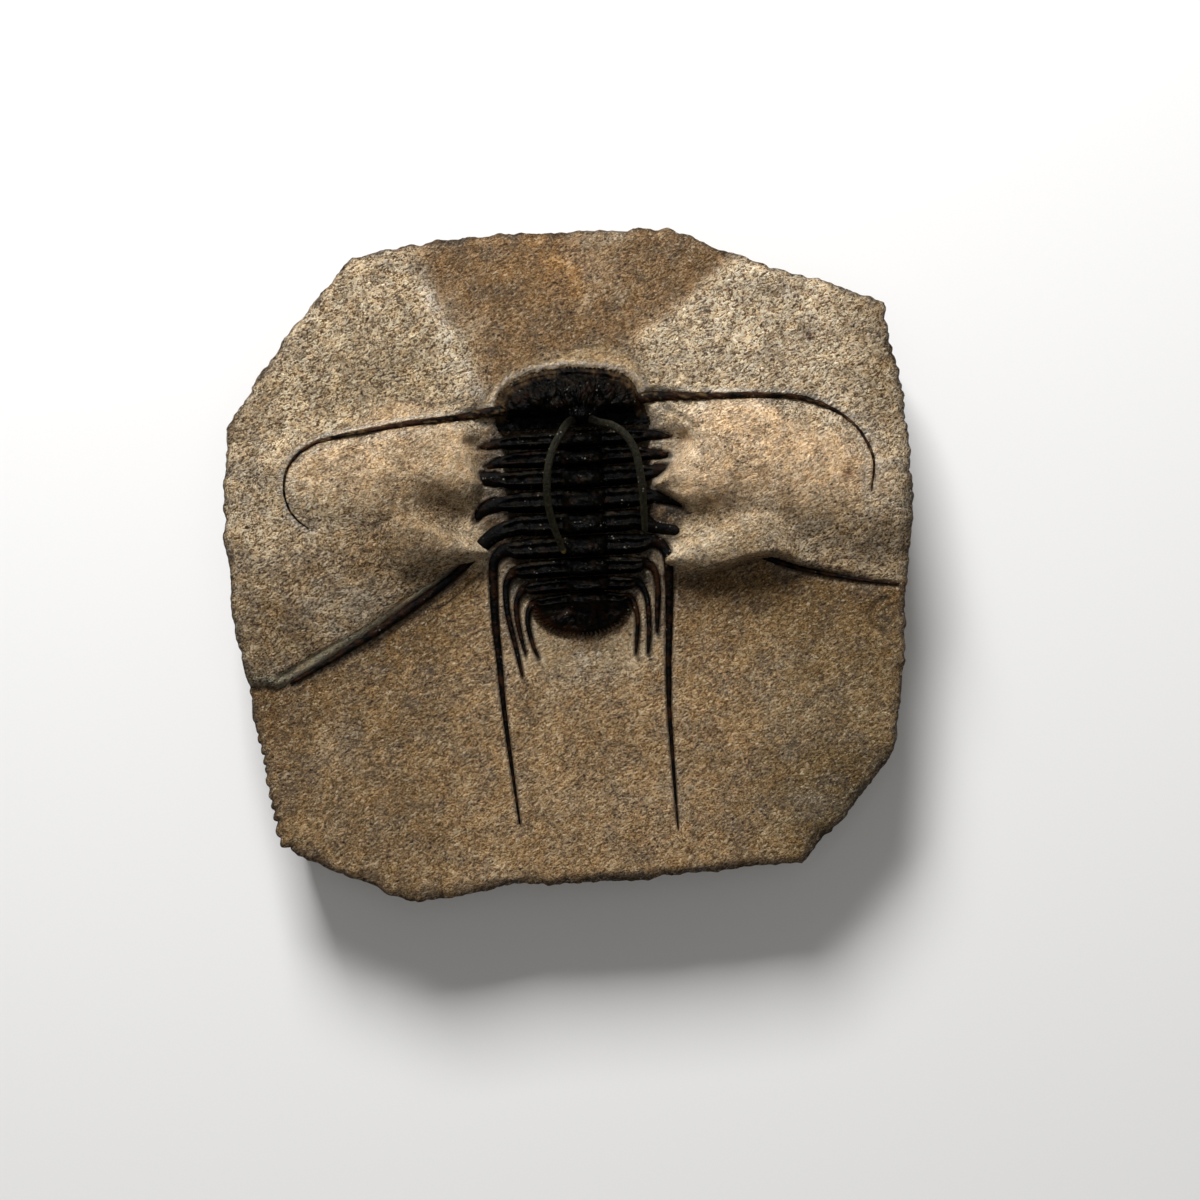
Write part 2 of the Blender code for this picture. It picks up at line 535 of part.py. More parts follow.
def head_height(across, along, from_edge):
    """Height of the head shield, which swells from its rim and carries lobes."""
    height = HEAD_RIM_TOP + HEAD_RISE * math.sin(math.pi / 2 * min(1.0, from_edge / HEAD_SWELL_RUN))
    for middle_across, middle_along, half_width, half_length, rise in HEAD_LOBES:
        away = ((across - middle_across) / half_width) ** 2 + ((along - middle_along) / half_length) ** 2
        height += rise * max(0.0, 1.0 - away)
    return height


def head_place(share_across, share_along):
    across = HEAD_HALF_WIDTH * share_across
    front = float(along_line(HEAD_FRONT, across))
    column = round((share_across + 1.0) / 2 * HEAD_COLUMNS)
    along = HEAD_BACK + (front - HEAD_BACK) * share_along
    from_side = HEAD_SIDE_STEEP * (HEAD_HALF_WIDTH - abs(across))
    from_back = HEAD_BACK_STEEP * (along - HEAD_BACK) + HEAD_BACK_LIP
    height = head_height(across, along, min(front - along, from_side, from_back))
    if share_along == 1.0 and column % 2:
        along += TOOTH_REACH
        height -= TOOTH_DIP
    return Vector((*to_slab(across, along), height))


def head_bed_place(share_across, share_along):
    """The room that the head shield takes, teeth and clearance included."""
    spare = CLEARANCE + TOOTH_REACH
    front = float(along_line(HEAD_FRONT, HEAD_HALF_WIDTH * share_across)) + spare
    front += spare / 2 * (1.0 - share_across ** 2)
    back = HEAD_BACK - CLEARANCE
    across = (HEAD_HALF_WIDTH + spare) * share_across
    return Vector((*to_slab(across, back + (front - back) * share_along), RING_TOP))


def tail_place(share_across, share_along):
    across = TAIL_HALF_WIDTH * share_across
    depth = TAIL_LENGTH * math.sqrt(1.0 - TAIL_ROUND * share_across ** 2)
    column = round((share_across + 1.0) / 2 * TAIL_COLUMNS)
    along = TAIL_FRONT - depth * (1.0 - share_along)
    if share_along == 0.0 and column % 2:
        along -= TOOTH_REACH
    lobe = max(0.0, 1.0 - ((across - AXIS_SHIFT / 2) / TAIL_LOBE_HALF) ** 2)
    swell = math.sin(math.pi / 2 * min(1.0, share_along * depth / TAIL_SWELL_RUN))
    height = TAIL_RIM_TOP + TAIL_RISE * swell * (TAIL_SIDE_SHARE + lobe * share_along)
    return Vector((*to_slab(across, along), height))


def join_to(piece, others):
    """Makes the others one body with the piece."""
    for other in others:
        union = piece.modifiers.new(f"with_{other.name}", "BOOLEAN")
        union.operation = "UNION"
        union.solver = "EXACT"
        union.object = other
        hide_guide(other)


def hide_guide(guide):
    guide.hide_render = True
    guide.display_type = "WIRE"


def horn_route(horn):
    return [(*to_slab(across, along), height, radius) for across, along, height, radius in horn]


def build_head(collection, guides):
    """The head shield with its cheek spines and neck horns."""
    bm = plate_grid(HEAD_COLUMNS, HEAD_ROWS, head_place, SHELL_UNDER)
    head = new_mesh_object("cephalon", bm, collection)
    routes = {
        "cheek_spine_left": cheek_route(CHEEK_LEFT), "cheek_spine_right": cheek_route(CHEEK_RIGHT),
        "neck_horn_left": horn_route(HORN_LEFT), "neck_horn_right": horn_route(HORN_RIGHT),
    }
    bars = {name: new_bar(round_bar(route)) for name, route in routes.items()}
    join_to(head, [new_mesh_object(name, bar, guides) for name, bar in bars.items()])
    return head


def build_tail(collection):
    """The tail shield."""
    bm = plate_grid(TAIL_COLUMNS, TAIL_ROWS, tail_place, SHELL_UNDER)
    return new_mesh_object("pygidium", bm, collection)


def cut_trenches(slab, guides):
    """Clears the rock round the head and round every spine that lies in it."""
    bars = [with_clearance(round_bar(route), TRENCH_HEADROOM) for route in open_routes()]
    bars += [with_clearance(segment_stations(number)) for number in range(len(SEGMENT_ALONG))]
    bed = plate_grid(HEAD_BED_COLUMNS, 1, head_bed_place, SHELL_UNDER - CLEARANCE)
    cutters = [new_mesh_object("head_bed", bed, guides)]
    for number, bar in enumerate(bars, 1):
        cutters.append(new_mesh_object(f"trench_{number}", new_bar(bar), guides))
    for cutter in cutters:
        hide_guide(cutter)
        cut = slab.modifiers.new(cutter.name, "BOOLEAN")
        cut.operation = "DIFFERENCE"
        cut.solver = "EXACT"
        cut.object = cutter


def new_material(name, colour, roughness):
    material = bpy.data.materials.new(name)
    material.use_nodes = True
    shader = material.node_tree.nodes["Principled BSDF"]
    shader.inputs["Base Color"].default_value = colour
    shader.inputs["Roughness"].default_value = roughness
    shader.inputs["Metallic"].default_value = 0.0
    return material


def new_collection(name):
    collection = bpy.data.collections.new(name)
    bpy.context.scene.collection.children.link(collection)
    return collection


def main():
    for old in list(bpy.data.objects):
        bpy.data.objects.remove(old, do_unlink=True)
    fossil = new_collection("odontopleurid_trilobite")
    guides = new_collection("guides")
    slab = build_slab(fossil)
    slab.data.materials.append(new_material("limestone", LIMESTONE, 0.9))
    cut_trenches(slab, guides)
    shell = [build_head(fossil, guides)]
    shell += [build_segment(number, fossil) for number in range(len(SEGMENT_ALONG))]
    shell.append(build_tail(fossil))
    for plate in shell:
        plate.data.materials.append(new_material(f"{plate.name}_calcite", BLACK_CALCITE, 0.45))


main()
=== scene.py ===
"""Looks of a spiny trilobite, freed in relief on the slab of limestone that it lies in.

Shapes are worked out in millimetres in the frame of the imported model, and MM turns them into its
metres. The slab's face is a height over the flat underside, which is all at zero. The animal has a
frame of its own, turned a little on the slab, in which its left and right sides nearly match.
"""

import math
from types import SimpleNamespace

import bmesh
import bpy
import numpy as np
from bpy.props import FloatProperty, FloatVectorProperty, IntProperty, PointerProperty
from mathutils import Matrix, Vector, noise


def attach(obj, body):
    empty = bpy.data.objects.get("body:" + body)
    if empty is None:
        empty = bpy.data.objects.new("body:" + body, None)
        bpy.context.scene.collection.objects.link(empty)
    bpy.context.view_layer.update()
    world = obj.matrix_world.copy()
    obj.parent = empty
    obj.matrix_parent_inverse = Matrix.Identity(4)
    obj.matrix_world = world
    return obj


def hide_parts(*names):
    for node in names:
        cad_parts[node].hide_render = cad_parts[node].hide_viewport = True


bl_info = {
    "name": "Spiny trilobite on its slab",
    "version": (1, 0, 0),
    "blender": (4, 5, 0),
    "location": "3D View > Sidebar > Fossil",
    "description": "Builds the finished rock and shell plates around the packed model",
    "category": "Add Mesh",
}

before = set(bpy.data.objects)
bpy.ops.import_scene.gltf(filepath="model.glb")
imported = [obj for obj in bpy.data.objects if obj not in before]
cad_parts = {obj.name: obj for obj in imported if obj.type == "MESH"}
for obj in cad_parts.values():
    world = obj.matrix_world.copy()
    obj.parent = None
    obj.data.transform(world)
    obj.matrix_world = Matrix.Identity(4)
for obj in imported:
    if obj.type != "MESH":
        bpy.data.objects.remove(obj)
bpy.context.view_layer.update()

MM = 0.001

# The slab: its edge seen from above, anticlockwise from the right
SLAB_EDGE = [
    (53.1, 0.9), (53.5, 9.1), (53.1, 16.3), (52.3, 24.3), (51.1, 30.9), (50, 34.9), (49.1, 41.1),
    (38.6, 44.8), (32.8, 45.8), (21.8, 50.3), (18, 52), (14.9, 52.6), (5.4, 52.6), (-2.6, 52),
    (-10.6, 51.8), (-20.8, 50.9), (-24.6, 49.8), (-33.7, 48), (-36, 45.4), (-39.8, 40.8),
    (-48, 29.8), (-52.2, 22.9), (-53.1, 21.4), (-53.5, 14), (-53.5, 4), (-52.2, -8.3),
    (-50.3, -18.3), (-48.8, -26.9), (-46.8, -37.1), (-46, -41.8), (-44.9, -43.7), (-43.4, -44.8),
    (-36.9, -47.7), (-25.1, -52.6), (-23.2, -52.6), (-15.7, -51.5), (-8.6, -49.7), (-1.4, -49.8),
    (9.8, -49.2), (19.5, -48), (34.5, -46.6), (36.5, -46.5), (38, -45), (40.2, -42.3),
    (44.5, -37.4), (50, -30.3), (51.2, -27.7), (52.2, -18.3), (52.5, -4.6),
]
FACE_DENSE = 0.62            # cell size in the middle, as a share of the mean
SIDE_COURSES = 22            # rows of cells down the broken sides
WAIST_INSET = 0.6            # the sides' waist lies this far in from the edge
SIDE_BULGE = 0.5             # how far the broken sides swell or shrink there
SIDE_WAVES = (0.31, 0.27)    # radians of that swell per millimetre across and along
WAIST_DOWN = 0.55            # the waist's share of the way down
FOOT_INSET = 1.6             # the underside is this much smaller all round
SIDE_GRIT = 0.5              # how strongly the broken sides are pecked
EDGE_ROUND = 2.4             # width of the worn band along the edge
EDGE_DROP = 1.1              # how far that band falls
NIBBLE_PITCH = 1.85          # spacing of the bites along two stretches of the edge
NIBBLE_DEPTH = 0.5
NIBBLE_LEFT = (-45, -25.5)
NIBBLE_RIGHT = (14, 41.5)

# Heights of the face above the underside
FIELD_TOP = 23.2             # upper field, at its crest
FIELD_CREST = 12             # the crest lies this far along
MOUND_FOOT = FIELD_TOP - 0.4 # what rises above it is a mound
FIELD_FALL = 1.6             # fall of the upper field over FIELD_REACH
FIELD_REACH = 55
RIGHT_FALL = 1.9             # further fall of its right corner, where the step fades out
RIGHT_ACROSS = (29, 50)
RIGHT_ALONG = (26, 3)
LOWER_TOP = 19.4             # lower field, behind the animal
LOWER_FALL = 1.3             # its fall towards the rear edge
LOWER_ALONG = (5, -52)
SCOOP_FLOOR = 20.6           # hollow that leads from the head to the front edge
POCKET_FLOOR = 19            # bed that the animal stands on

# The step between the upper and the lower field, from left to right
STEP_LINE = [
    (-54, -18.3), (-50.3, -18.3), (-45.5, -18.8), (-44.2, -18), (-40, -15.6), (-34.5, -12.2),
    (-28.8, -8.5), (-24.3, -5.4), (-19.5, -1.9), (-16.2, -0.4), (-13, -1), (16, -1.4),
    (21.1, -0.9), (24.2, 0), (27.7, 1.2), (31.7, 1.9), (35.8, 0.4), (44.8, -1.6), (54, -2.4),
]
# Its width, how far the upper field falls towards it, and over which distance, by the place across
STEP_RUN = [
    (-54, 0.7), (-42, 0.7), (-20, 1), (-14, 1.3), (15, 1), (18, 0.8), (38, 0.6),
    (50, 1.2),
]
BROW_FALL = [
    (-54, 1), (-44, 2), (-32, 2.7), (-17, 2.7), (-13, 1), (16, 0.7), (50, 0.4),
]
BROW_RUN = [(-54, 15), (-14, 13), (14, 7)]
# Sides of the hollow in front of the head: along, across
SCOOP_LEFT = [(25, -13.4), (29.2, -13.8), (34.8, -15.2), (38.6, -19.4), (45.2, -22.9), (53, -26)]
SCOOP_RIGHT = [
    (25, 10.9), (29.4, 10.9), (34.5, 9.5), (36.8, 11.7), (39.2, 15.7), (41.8, 18.9), (53, 31),
]
SCOOP_RUN = 5
SCOOP_ALONG = (20, 27)

# Half-buried cones that make the mounds: tip, root, their radii, the heights of their backs, and how
# much wider they are on their rear flank
MOUND_CONES = [
    ((-14.3, 12.7), (-25, 17.6), 0.7, 9, 24, 27, 1.35),
    ((-13.4, 2.3), (-23.5, 5.4), 0.8, 4.6, 23.3, 25.8, 1.8),
    ((-24, 17.2), (-41, 15.5), 9, 8.5, 27, 24.5, 1.55),
    ((13.8, 12.8), (25.5, 18.6), 0.7, 9, 24, 27.3, 1.35),
    ((15.3, 1.1), (27.5, 5.4), 0.8, 5.2, 23.4, 25.9, 2.1),
    ((25, 18), (45, 15.5), 9, 9.5, 27.3, 24.7, 1.55),
]
# Valleys between the mounds' noses: across, along, depth, half width
VALLEYS = [
    [(-15, 7.6, 1.4, 1.8), (-16.4, 8.1, 2.8, 2.3), (-19.9, 9.3, 2.6, 2.7), (-27.5, 10.4, 0, 3)],
    [(16.6, 7.2, 0.8, 1.8), (18.3, 7.8, 2.2, 2.1), (21.8, 8.3, 2, 2.5), (28.5, 9, 0, 2.8)],
]
MOUND_FLANK = 4.6
MOUND_SWELL = 0.85
MOUND_ARCH = 0.7
MOUND_BLEND = 0.35

# The animal's own frame on the slab
OWN_TURN = math.radians(3.1)
OWN_ORIGIN = (1.05, 10.3)
AXIS_SHIFT = 1.1

# Edge of the hollow that the animal lies in, in its own frame
POCKET_EDGE = [
    (-13.6, 15.4), (-9.2, 20.1), (-5.3, 21.7), (-2.5, 22.5), (1, 23.4), (3.5, 23.7), (6.4, 23.5),
    (8.8, 22.3), (10.9, 18.5), (12.9, 13.8), (16.3, 12.5), (19.2, 10.5), (20.2, 8), (19.3, 6.5),
    (16.1, 4.2), (12.9, 1.8), (14.8, 0.6), (17.2, -1), (17.7, -3), (17, -5), (15.2, -7.7),
    (13.9, -9.6), (14.2, -11.8), (14.6, -26), (3, -29), (-12.6, -28), (-14.9, -12),
    (-14.6, -8.8), (-14.6, -6.7), (-16.8, -3.6), (-17.4, -1.1), (-16.5, 1.4), (-15.2, 3.1),
    (-16.3, 5.4), (-17.3, 7.7), (-18, 10.1), (-15.6, 12.3),
]
POCKET_SOFT = [(-14, 4.2), (-10.5, 1.3), (4, 1.3), (7.5, 3.4), (12, 3.4), (17, 2.9)]
HOLLOW = 2.3                 # how far the field sinks between the mounds' noses
HOLLOW_REACH = (27, 17)
MOAT_ALONG = (12, 17)
MOAT_FLOOR = 20.2            # floor of the moat where it meets the head's teeth

# Rock left standing between the spines: how far it reaches inwards, by the place along
BANK_INNER = [
    (-31, 0), (-21.6, 2.5), (-20.6, 5.2), (-19, 6.7), (-16, 7.9), (-13, 8.9), (-10, 9.9),
    (-6, 10.6), (9, 10.8), (12.5, 11.9),
]
BANK_TOP = 21
REAR_BANK_TOP = 20.15
SHELL_UNDER = 19.35          # underside of every plate of the shell

# Head shield, in the animal's own frame
HEAD_HALF_WIDTH = 11.6
HEAD_BACK = 11.35
HEAD_FRONT = [
    (11.6, 15.5), (10.8, 17.3), (9.1, 18.7), (6, 19.8), (3, 20.3), (0.1, 20.5), (-3, 20.4),
    (-6.1, 19.9), (-9, 18.8), (-10.7, 17.5), (-11.6, 15.5),
]
HEAD_RIM_TOP = 20.7
HEAD_RISE = 2.3
HEAD_TEETH = 58
HEAD_TOOTH = 0.62
NECK_TOP = 20.1
# Lobes and neck ring: across, along, half width, half length, rise
HEAD_LOBES = [
    (1.2, 16.4, 2.7, 3.1, 1.9), (-4.9, 16, 1.9, 1.8, 1.3), (5.6, 16.6, 1.5, 1.9, 1.2),
    (-8.2, 14.6, 2, 1.8, 0.7), (8.7, 15, 1.8, 1.8, 0.7), (1.7, 12.9, 2.6, 1.3, 3.1),
]

CHEEK_SINK = 0.12            # how deep the middle of a cheek spine lies in the rock
# Cheek spines, on the slab: across, along, height or None on the rock, radius
CHEEK_LEFT = [
    (-9.6, 24.3, 21.2, 0.9), (-12.6, 23.8, 21.7, 0.72), (-16.2, 23.1, 22.5, 0.56), (-18.8, 22.6, None, 0.46),
    (-23.2, 22, None, 0.42), (-28.5, 21.1, None, 0.36), (-36.9, 19.6, None, 0.3), (-40.4, 18.2, None, 0.27),
    (-42.8, 15.9, None, 0.21), (-43.9, 12.6, None, 0.19), (-43.4, 9.3, None, 0.17), (-42, 7.2, None, 0.15),
    (-40.2, 5.8, None, 0.11),
]
CHEEK_RIGHT = [
    (10.2, 26, 21.2, 0.95), (13.6, 26.3, 21.9, 0.75), (16.8, 26.3, 22.6, 0.65), (24, 26.3, None, 0.5),
    (30, 26.4, None, 0.45), (35.2, 26.2, None, 0.4), (38.8, 25.2, None, 0.38), (41.9, 23.7, None, 0.26),
    (44.4, 21.5, None, 0.24), (46.1, 18.7, None, 0.23), (46.9, 15.8, None, 0.19), (46.5, 11.4, None, 0.12),
]
# Horns, in the animal's own frame: across, along, height, radius
HORN_LEFT = [
    (0.6, 12.4, 24, 0.7), (-0.7, 11.5, 26, 0.62), (-1.8, 9.8, 27.6, 0.6), (-3.1, 7.4, 28.7, 0.6),
    (-3.9, 4.6, 29.3, 0.6), (-4.2, 1.6, 29.3, 0.6), (-4.1, -1.2, 28.8, 0.58), (-3.5, -4.2, 28, 0.55),
    (-2.7, -6.6, 27.2, 0.5), (-2.1, -8.4, 26.6, 0.44),
]
HORN_RIGHT = [
    (2.6, 12.4, 24, 0.7), (4.2, 11.5, 26, 0.62), (6.2, 10.8, 27.4, 0.6), (8, 9.3, 28.4, 0.6),
    (9.3, 7, 29, 0.6), (9.9, 4.2, 29.2, 0.6), (10.2, 1.2, 29, 0.58), (10.3, -2.4, 28.2, 0.54),
    (10.3, -5.9, 27.2, 0.46),
]

# Thorax, in the animal's own frame
SEGMENT_ALONG = [9.55, 6.75, 3.6, 0.1, -3.5, -7.1, -10.3, -13, -15.15]
SEGMENT_HALF = [1.3, 1.4, 1.65, 1.75, 1.75, 1.65, 1.4, 1.12, 0.95]
RING_TOP = 24.2
RING_HALF_WIDTH = 3.3
RING_BLEND = 0.12            # how softly the ring meets the ribs
REAR_RIDGE = (0.4, 0.24)     # a rib's two ridges: place between its edges, and half width
FRONT_RIDGE = (-0.5, 0.18)
KNOB_PITCH = 0.95
RIB_TOP = 21.9
RIB_REACH = [9.4, 9.4, 9.4, 9.4, 9.4, 9.4, 8.9, 7.4, 6]
SIDE_LEVEL = 20.6
SIDE_SPINES = [
    ([(-12, 9.3, 0.75), (-14.4, 8.8, 0.3)], [(12.4, 9.5, 0.75), (15.2, 9.1, 0.3)]),
    ([(-11.6, 6.4, 0.8), (-13.6, 5.9, 0.35)], [(12.6, 6.5, 0.8), (14.8, 6.1, 0.35)]),
    ([(-12.4, 3.9, 1.15), (-14.6, 4.2, 0.98), (-16.1, 4.6, 0.6)], [(13, 3.9, 1), (16.3, 4.4, 0.4)]),
    ([(-12.6, -0.1, 1.1), (-14.6, -0.9, 0.9), (-15.7, -2.3, 0.5)],
     [(13.2, -0.2, 1), (16, -1, 0.85), (17.5, -2.5, 0.45)]),
]
# Long spines of plate 5, on the slab: across, along, height, radius
FIFTH_LEFT = [
    (-11.6, 4.9, 20.4, 1.25), (-14, 2.7, 20.2, 1.1), (-16.6, -0.2, 20, 0.62), (-20.2, -3.2, 19.95, 0.68),
    (-24.6, -6.4, 19.9, 0.66), (-30.4, -10.4, 19.75, 0.55), (-37, -14.5, 19.5, 0.4),
    (-43.6, -18.3, 19.2, 0.25),
]
FIFTH_RIGHT = [
    (13.4, 6.2, 20.4, 1.1), (17.4, 5.4, 20.3, 1), (22, 4, 20.2, 0.6), (27.4, 2.6, 20, 0.52),
    (32.4, 0.8, 19.85, 0.46), (36.4, -0.4, 19.75, 0.4), (41, -1.3, 19.65, 0.34), (46.5, -2.2, 19.55, 0.28),
    (51.6, -2.7, 19.4, 0.2),
]
# Rear spines of plates 6 to 9, in the animal's own frame, on the left and on the right
REAR_SPINES = [
    ([(-11.4, -7.2, 1), (-13, -8.4, 0.8), (-13.5, -10.8, 0.72), (-13.6, -17.9, 0.62),
      (-13.3, -24.1, 0.5), (-13.1, -29.9, 0.4), (-12.7, -36, 0.34), (-12.2, -42, 0.27),
      (-11.5, -50.2, 0.15)],
     [(11.6, -7, 1), (13.2, -8, 0.8), (13.8, -10.4, 0.72), (13.6, -17.9, 0.58), (13.1, -25.5, 0.46),
      (12.8, -32.9, 0.36), (12.9, -39.5, 0.28), (13, -45.6, 0.22), (13.2, -52.3, 0.14)]),
    ([(-10.3, -10.8, 0.75), (-11.5, -12.3, 0.5), (-11.7, -15, 0.46), (-11.4, -18, 0.42),
      (-10.5, -22.8, 0.34), (-9.8, -27, 0.2)],
     [(10.3, -10.3, 0.75), (11.7, -11.7, 0.5), (12, -14.6, 0.46), (11.7, -18, 0.38), (11.5, -21.4, 0.2)]),
    ([(-8.9, -13.5, 0.6), (-9.9, -14.8, 0.44), (-10.2, -16.6, 0.42), (-9.9, -19.6, 0.36), (-9.1, -23.6, 0.2)],
     [(8.9, -13.2, 0.6), (9.9, -14.5, 0.44), (10.3, -16.6, 0.42), (10.3, -20.4, 0.34), (9.9, -24.6, 0.2)]),
    ([(-7.4, -15.6, 0.5), (-8.3, -16.8, 0.4), (-8.5, -19, 0.36), (-7.8, -22.4, 0.28), (-7, -24.3, 0.18)],
     [(7.4, -15.4, 0.5), (8.3, -16.7, 0.4), (8.6, -19, 0.36), (8.3, -22, 0.28), (8, -24.5, 0.18)]),
]
REAR_LEVEL = 20
OUTER_LEVEL = 20.3
OUTER_SINK = 0.05
OUTER_ALONG = (-8, -20)

# Tail shield, in the animal's own frame
TAIL_FRONT = -16
TAIL_LENGTH = 4.45
TAIL_HALF_WIDTH = 7.3
TAIL_RIM_TOP = 20.2
TAIL_RISE = 1.5
TAIL_TEETH = 30
TAIL_TOOTH = 0.85
TAIL_LOBE_HALF = 2.4


def held(value, low=0, high=1):
    """A value held between two others."""
    return np.clip(value, low, high)


def ramp(low, high, value):
    """0 below low, 1 above high, with a soft S between them."""
    share = held((value - low) / (high - low))
    return share * share * (3 - 2 * share)


def along_line(points, value):
    """Reads a line given as (place, value) pairs, in increasing order of place."""
    places, values = zip(*points)
    return np.interp(value, places, values)


def hump(value, middle, half):
    """1 at the middle, falling to nearly nothing at twice the half width from it."""
    return np.exp(-((value - middle) / half) ** 2)


def to_slab(across, along):
    """From the animal's own frame to the slab's."""
    cos, sin = math.cos(OWN_TURN), math.sin(OWN_TURN)
    return OWN_ORIGIN[0] + across * cos - along * sin, OWN_ORIGIN[1] + across * sin + along * cos


def to_own(x, y):
    """From the slab's frame to the animal's own."""
    cos, sin = math.cos(OWN_TURN), math.sin(OWN_TURN)
    dx, dy = x - OWN_ORIGIN[0], y - OWN_ORIGIN[1]
    return dx * cos + dy * sin, dy * cos - dx * sin


def lumps(places, size, octaves=1, seed=0):
    """Noise of about -1 to 1 with lumps of a size, at each of an array of places."""
    spots = np.asarray(places) / size + seed
    values = [noise.fractal(spot, 1, 2, octaves) for spot in spots.reshape(-1, 3).tolist()]
    return np.array(values).reshape(spots.shape[:-1])


def face_lumps(x, y, size, octaves, seed=0):
    """Lumps at places that have no height."""
    return lumps(np.stack([x, y, 0 * x], axis=-1), size, octaves, seed)


def grains(places, size, seed=0):
    """Rounded grains of a size, from 0 between them to 1 on their tops."""
    spots = np.asarray(places) / size + seed
    nearest = np.array([noise.voronoi(spot)[0][0] for spot in spots.reshape(-1, 3).tolist()])
    return held(1 - nearest.reshape(spots.shape[:-1]) / 0.55)


def toward(colours, colour, share):
    """Moves colours towards another one, by a share at each place."""
    return colours + (colour - colours) * np.asarray(share)[..., None]


def along_stretch(start, end, x, y):
    """Share of the way from start to end that is nearest to a place, and the distance to it."""
    run = np.subtract(end, start)
    share = held(((x - start[0]) * run[0] + (y - start[1]) * run[1]) / (run @ run))
    return share, np.hypot(x - start[0] - share * run[0], y - start[1] - share * run[1])


def depth_inside(corners, x, y):
    """Distance to a closed outline, positive inside it."""
    nearest = np.full(np.shape(x), np.inf)
    inside = np.zeros(np.shape(x), dtype=bool)
    for start, end in zip(corners, corners[1:] + corners[:1]):
        nearest = np.minimum(nearest, along_stretch(start, end, x, y)[1])
        if start[1] != end[1]:
            level = (y - start[1]) / (end[1] - start[1])
            crosses = (start[1] > y) != (end[1] > y)
            inside ^= crosses & (x < start[0] + level * (end[0] - start[0]))
    return np.where(inside, nearest, -nearest)


def beside_route(route, x, y):
    """Distance to a route of (x, y, z, radius) stations, side of it, and its height and radius there."""
    away = np.full(np.shape(x), np.inf)
    side, level, radius = np.zeros((3,) + np.shape(x))
    for start, end in zip(route, route[1:]):
        share, near = along_stretch(start[:2], end[:2], x, y)
        nearer = near < away
        turn = (end[0] - start[0]) * (y - start[1]) - (end[1] - start[1]) * (x - start[0])
        away = np.where(nearer, near, away)
        side = np.where(nearer, np.sign(turn), side)
        level = np.where(nearer, start[2] + (end[2] - start[2]) * share, level)
        radius = np.where(nearer, start[3] + (end[3] - start[3]) * share, radius)
    return away, side, level, radius


def smooth_route(stations, steps):
    """Rounds a route of stations with a curve through them, steps per stretch."""
    points = [np.array(station, dtype=float) for station in stations]
    points = [2 * points[0] - points[1]] + points + [2 * points[-1] - points[-2]]
    rounded = []
    for before, start, end, after in zip(points, points[1:], points[2:], points[3:]):
        slope = end - before
        bend = 2 * before - 5 * start + 4 * end - after
        twist = 3 * start - before - 3 * end + after
        for step in range(steps):
            t = step / steps
            rounded.append(start + 0.5 * (slope * t + bend * t ** 2 + twist * t ** 3))
    return rounded + [points[-2]]


def linear(red, green, blue):
    """A colour given as display values of 0 to 255, as the linear one that shaders take."""
    return tuple((value / 255) ** 2.2 for value in (red, green, blue))


def cone_height(cone, x, y):
    """Height of a half-buried cone's back, falling away on its flanks and past its ends."""
    tip, root, tip_radius, root_radius, tip_top, root_top, rear_width = cone
    share, away = along_stretch(tip, root, x, y)
    run = np.subtract(root, tip)
    ahead = (run[0] * (y - tip[1]) - run[1] * (x - tip[0])) / math.hypot(*run)
    rearward = 0.5 - 0.5 * ahead * math.copysign(1, run[0]) / np.maximum(away, 1e-6)
    radius = tip_radius + (root_radius - tip_radius) * share ** MOUND_SWELL
    radius = radius * (1 + (rear_width - 1) * held(rearward))
    top = tip_top + (root_top - tip_top) * share ** MOUND_ARCH
    return top - MOUND_FLANK * (away / radius) ** 2


def above_step(x, y):
    """Distance above the step between the fields, in the view from above."""
    return y - along_line(STEP_LINE, x)


def step_share(x, y):
    """0 on the lower field, 1 on the upper one."""
    return ramp(0, 1, 0.5 + 0.5 * above_step(x, y) / along_line(STEP_RUN, x))


def open_field(x, y):
    """Height of the slab's face as if the animal's hollow weren't cut into it."""
    x = np.asarray(x, dtype=float)
    y = np.asarray(y, dtype=float)
    across, along = to_own(x, y)
    upper = FIELD_TOP - FIELD_FALL * (x ** 2 + (y - FIELD_CREST) ** 2) / FIELD_REACH ** 2
    upper = upper - RIGHT_FALL * ramp(*RIGHT_ACROSS, x) * ramp(*RIGHT_ALONG, y)
    near_step = 1 - held(above_step(x, y) / along_line(BROW_RUN, x))
    upper = upper - along_line(BROW_FALL, x) * near_step ** 2
    lower = LOWER_TOP - LOWER_FALL * ramp(*LOWER_ALONG, y)
    upper = upper + (SCOOP_FLOOR - upper) * scoop_share(x, y)
    upper = upper - HOLLOW * ramp(*HOLLOW_REACH, np.hypot(across, 1.25 * (along + 1)))
    for cone in MOUND_CONES:
        upper = MOUND_BLEND * np.logaddexp(upper / MOUND_BLEND, cone_height(cone, x, y) / MOUND_BLEND)
    for valley in VALLEYS:
        away, _, depth, half = beside_route(valley, x, y)
        upper = upper - depth * hump(away, 0, np.maximum(half, 0.1))
    return lower + (upper - lower) * step_share(x, y)


def pocket_share(along, inside):
    """1 on the floor of the hollow round the animal, 0 outside it."""
    return ramp(0, 1, inside / along_line(POCKET_SOFT, along))


def bed_floor(along):
    """Height of that floor, which rises to the moat in front of the head."""
    return POCKET_FLOOR + (MOAT_FLOOR - POCKET_FLOOR) * ramp(*MOAT_ALONG, along)


def field_height(x, y):
    """Height of the slab's face over its underside, without the trenches of the spines."""
    across, along = to_own(x, y)
    height = open_field(x, y)
    pocket = pocket_share(along, depth_inside(POCKET_EDGE, across, along))
    return height + (bed_floor(along) - height) * pocket


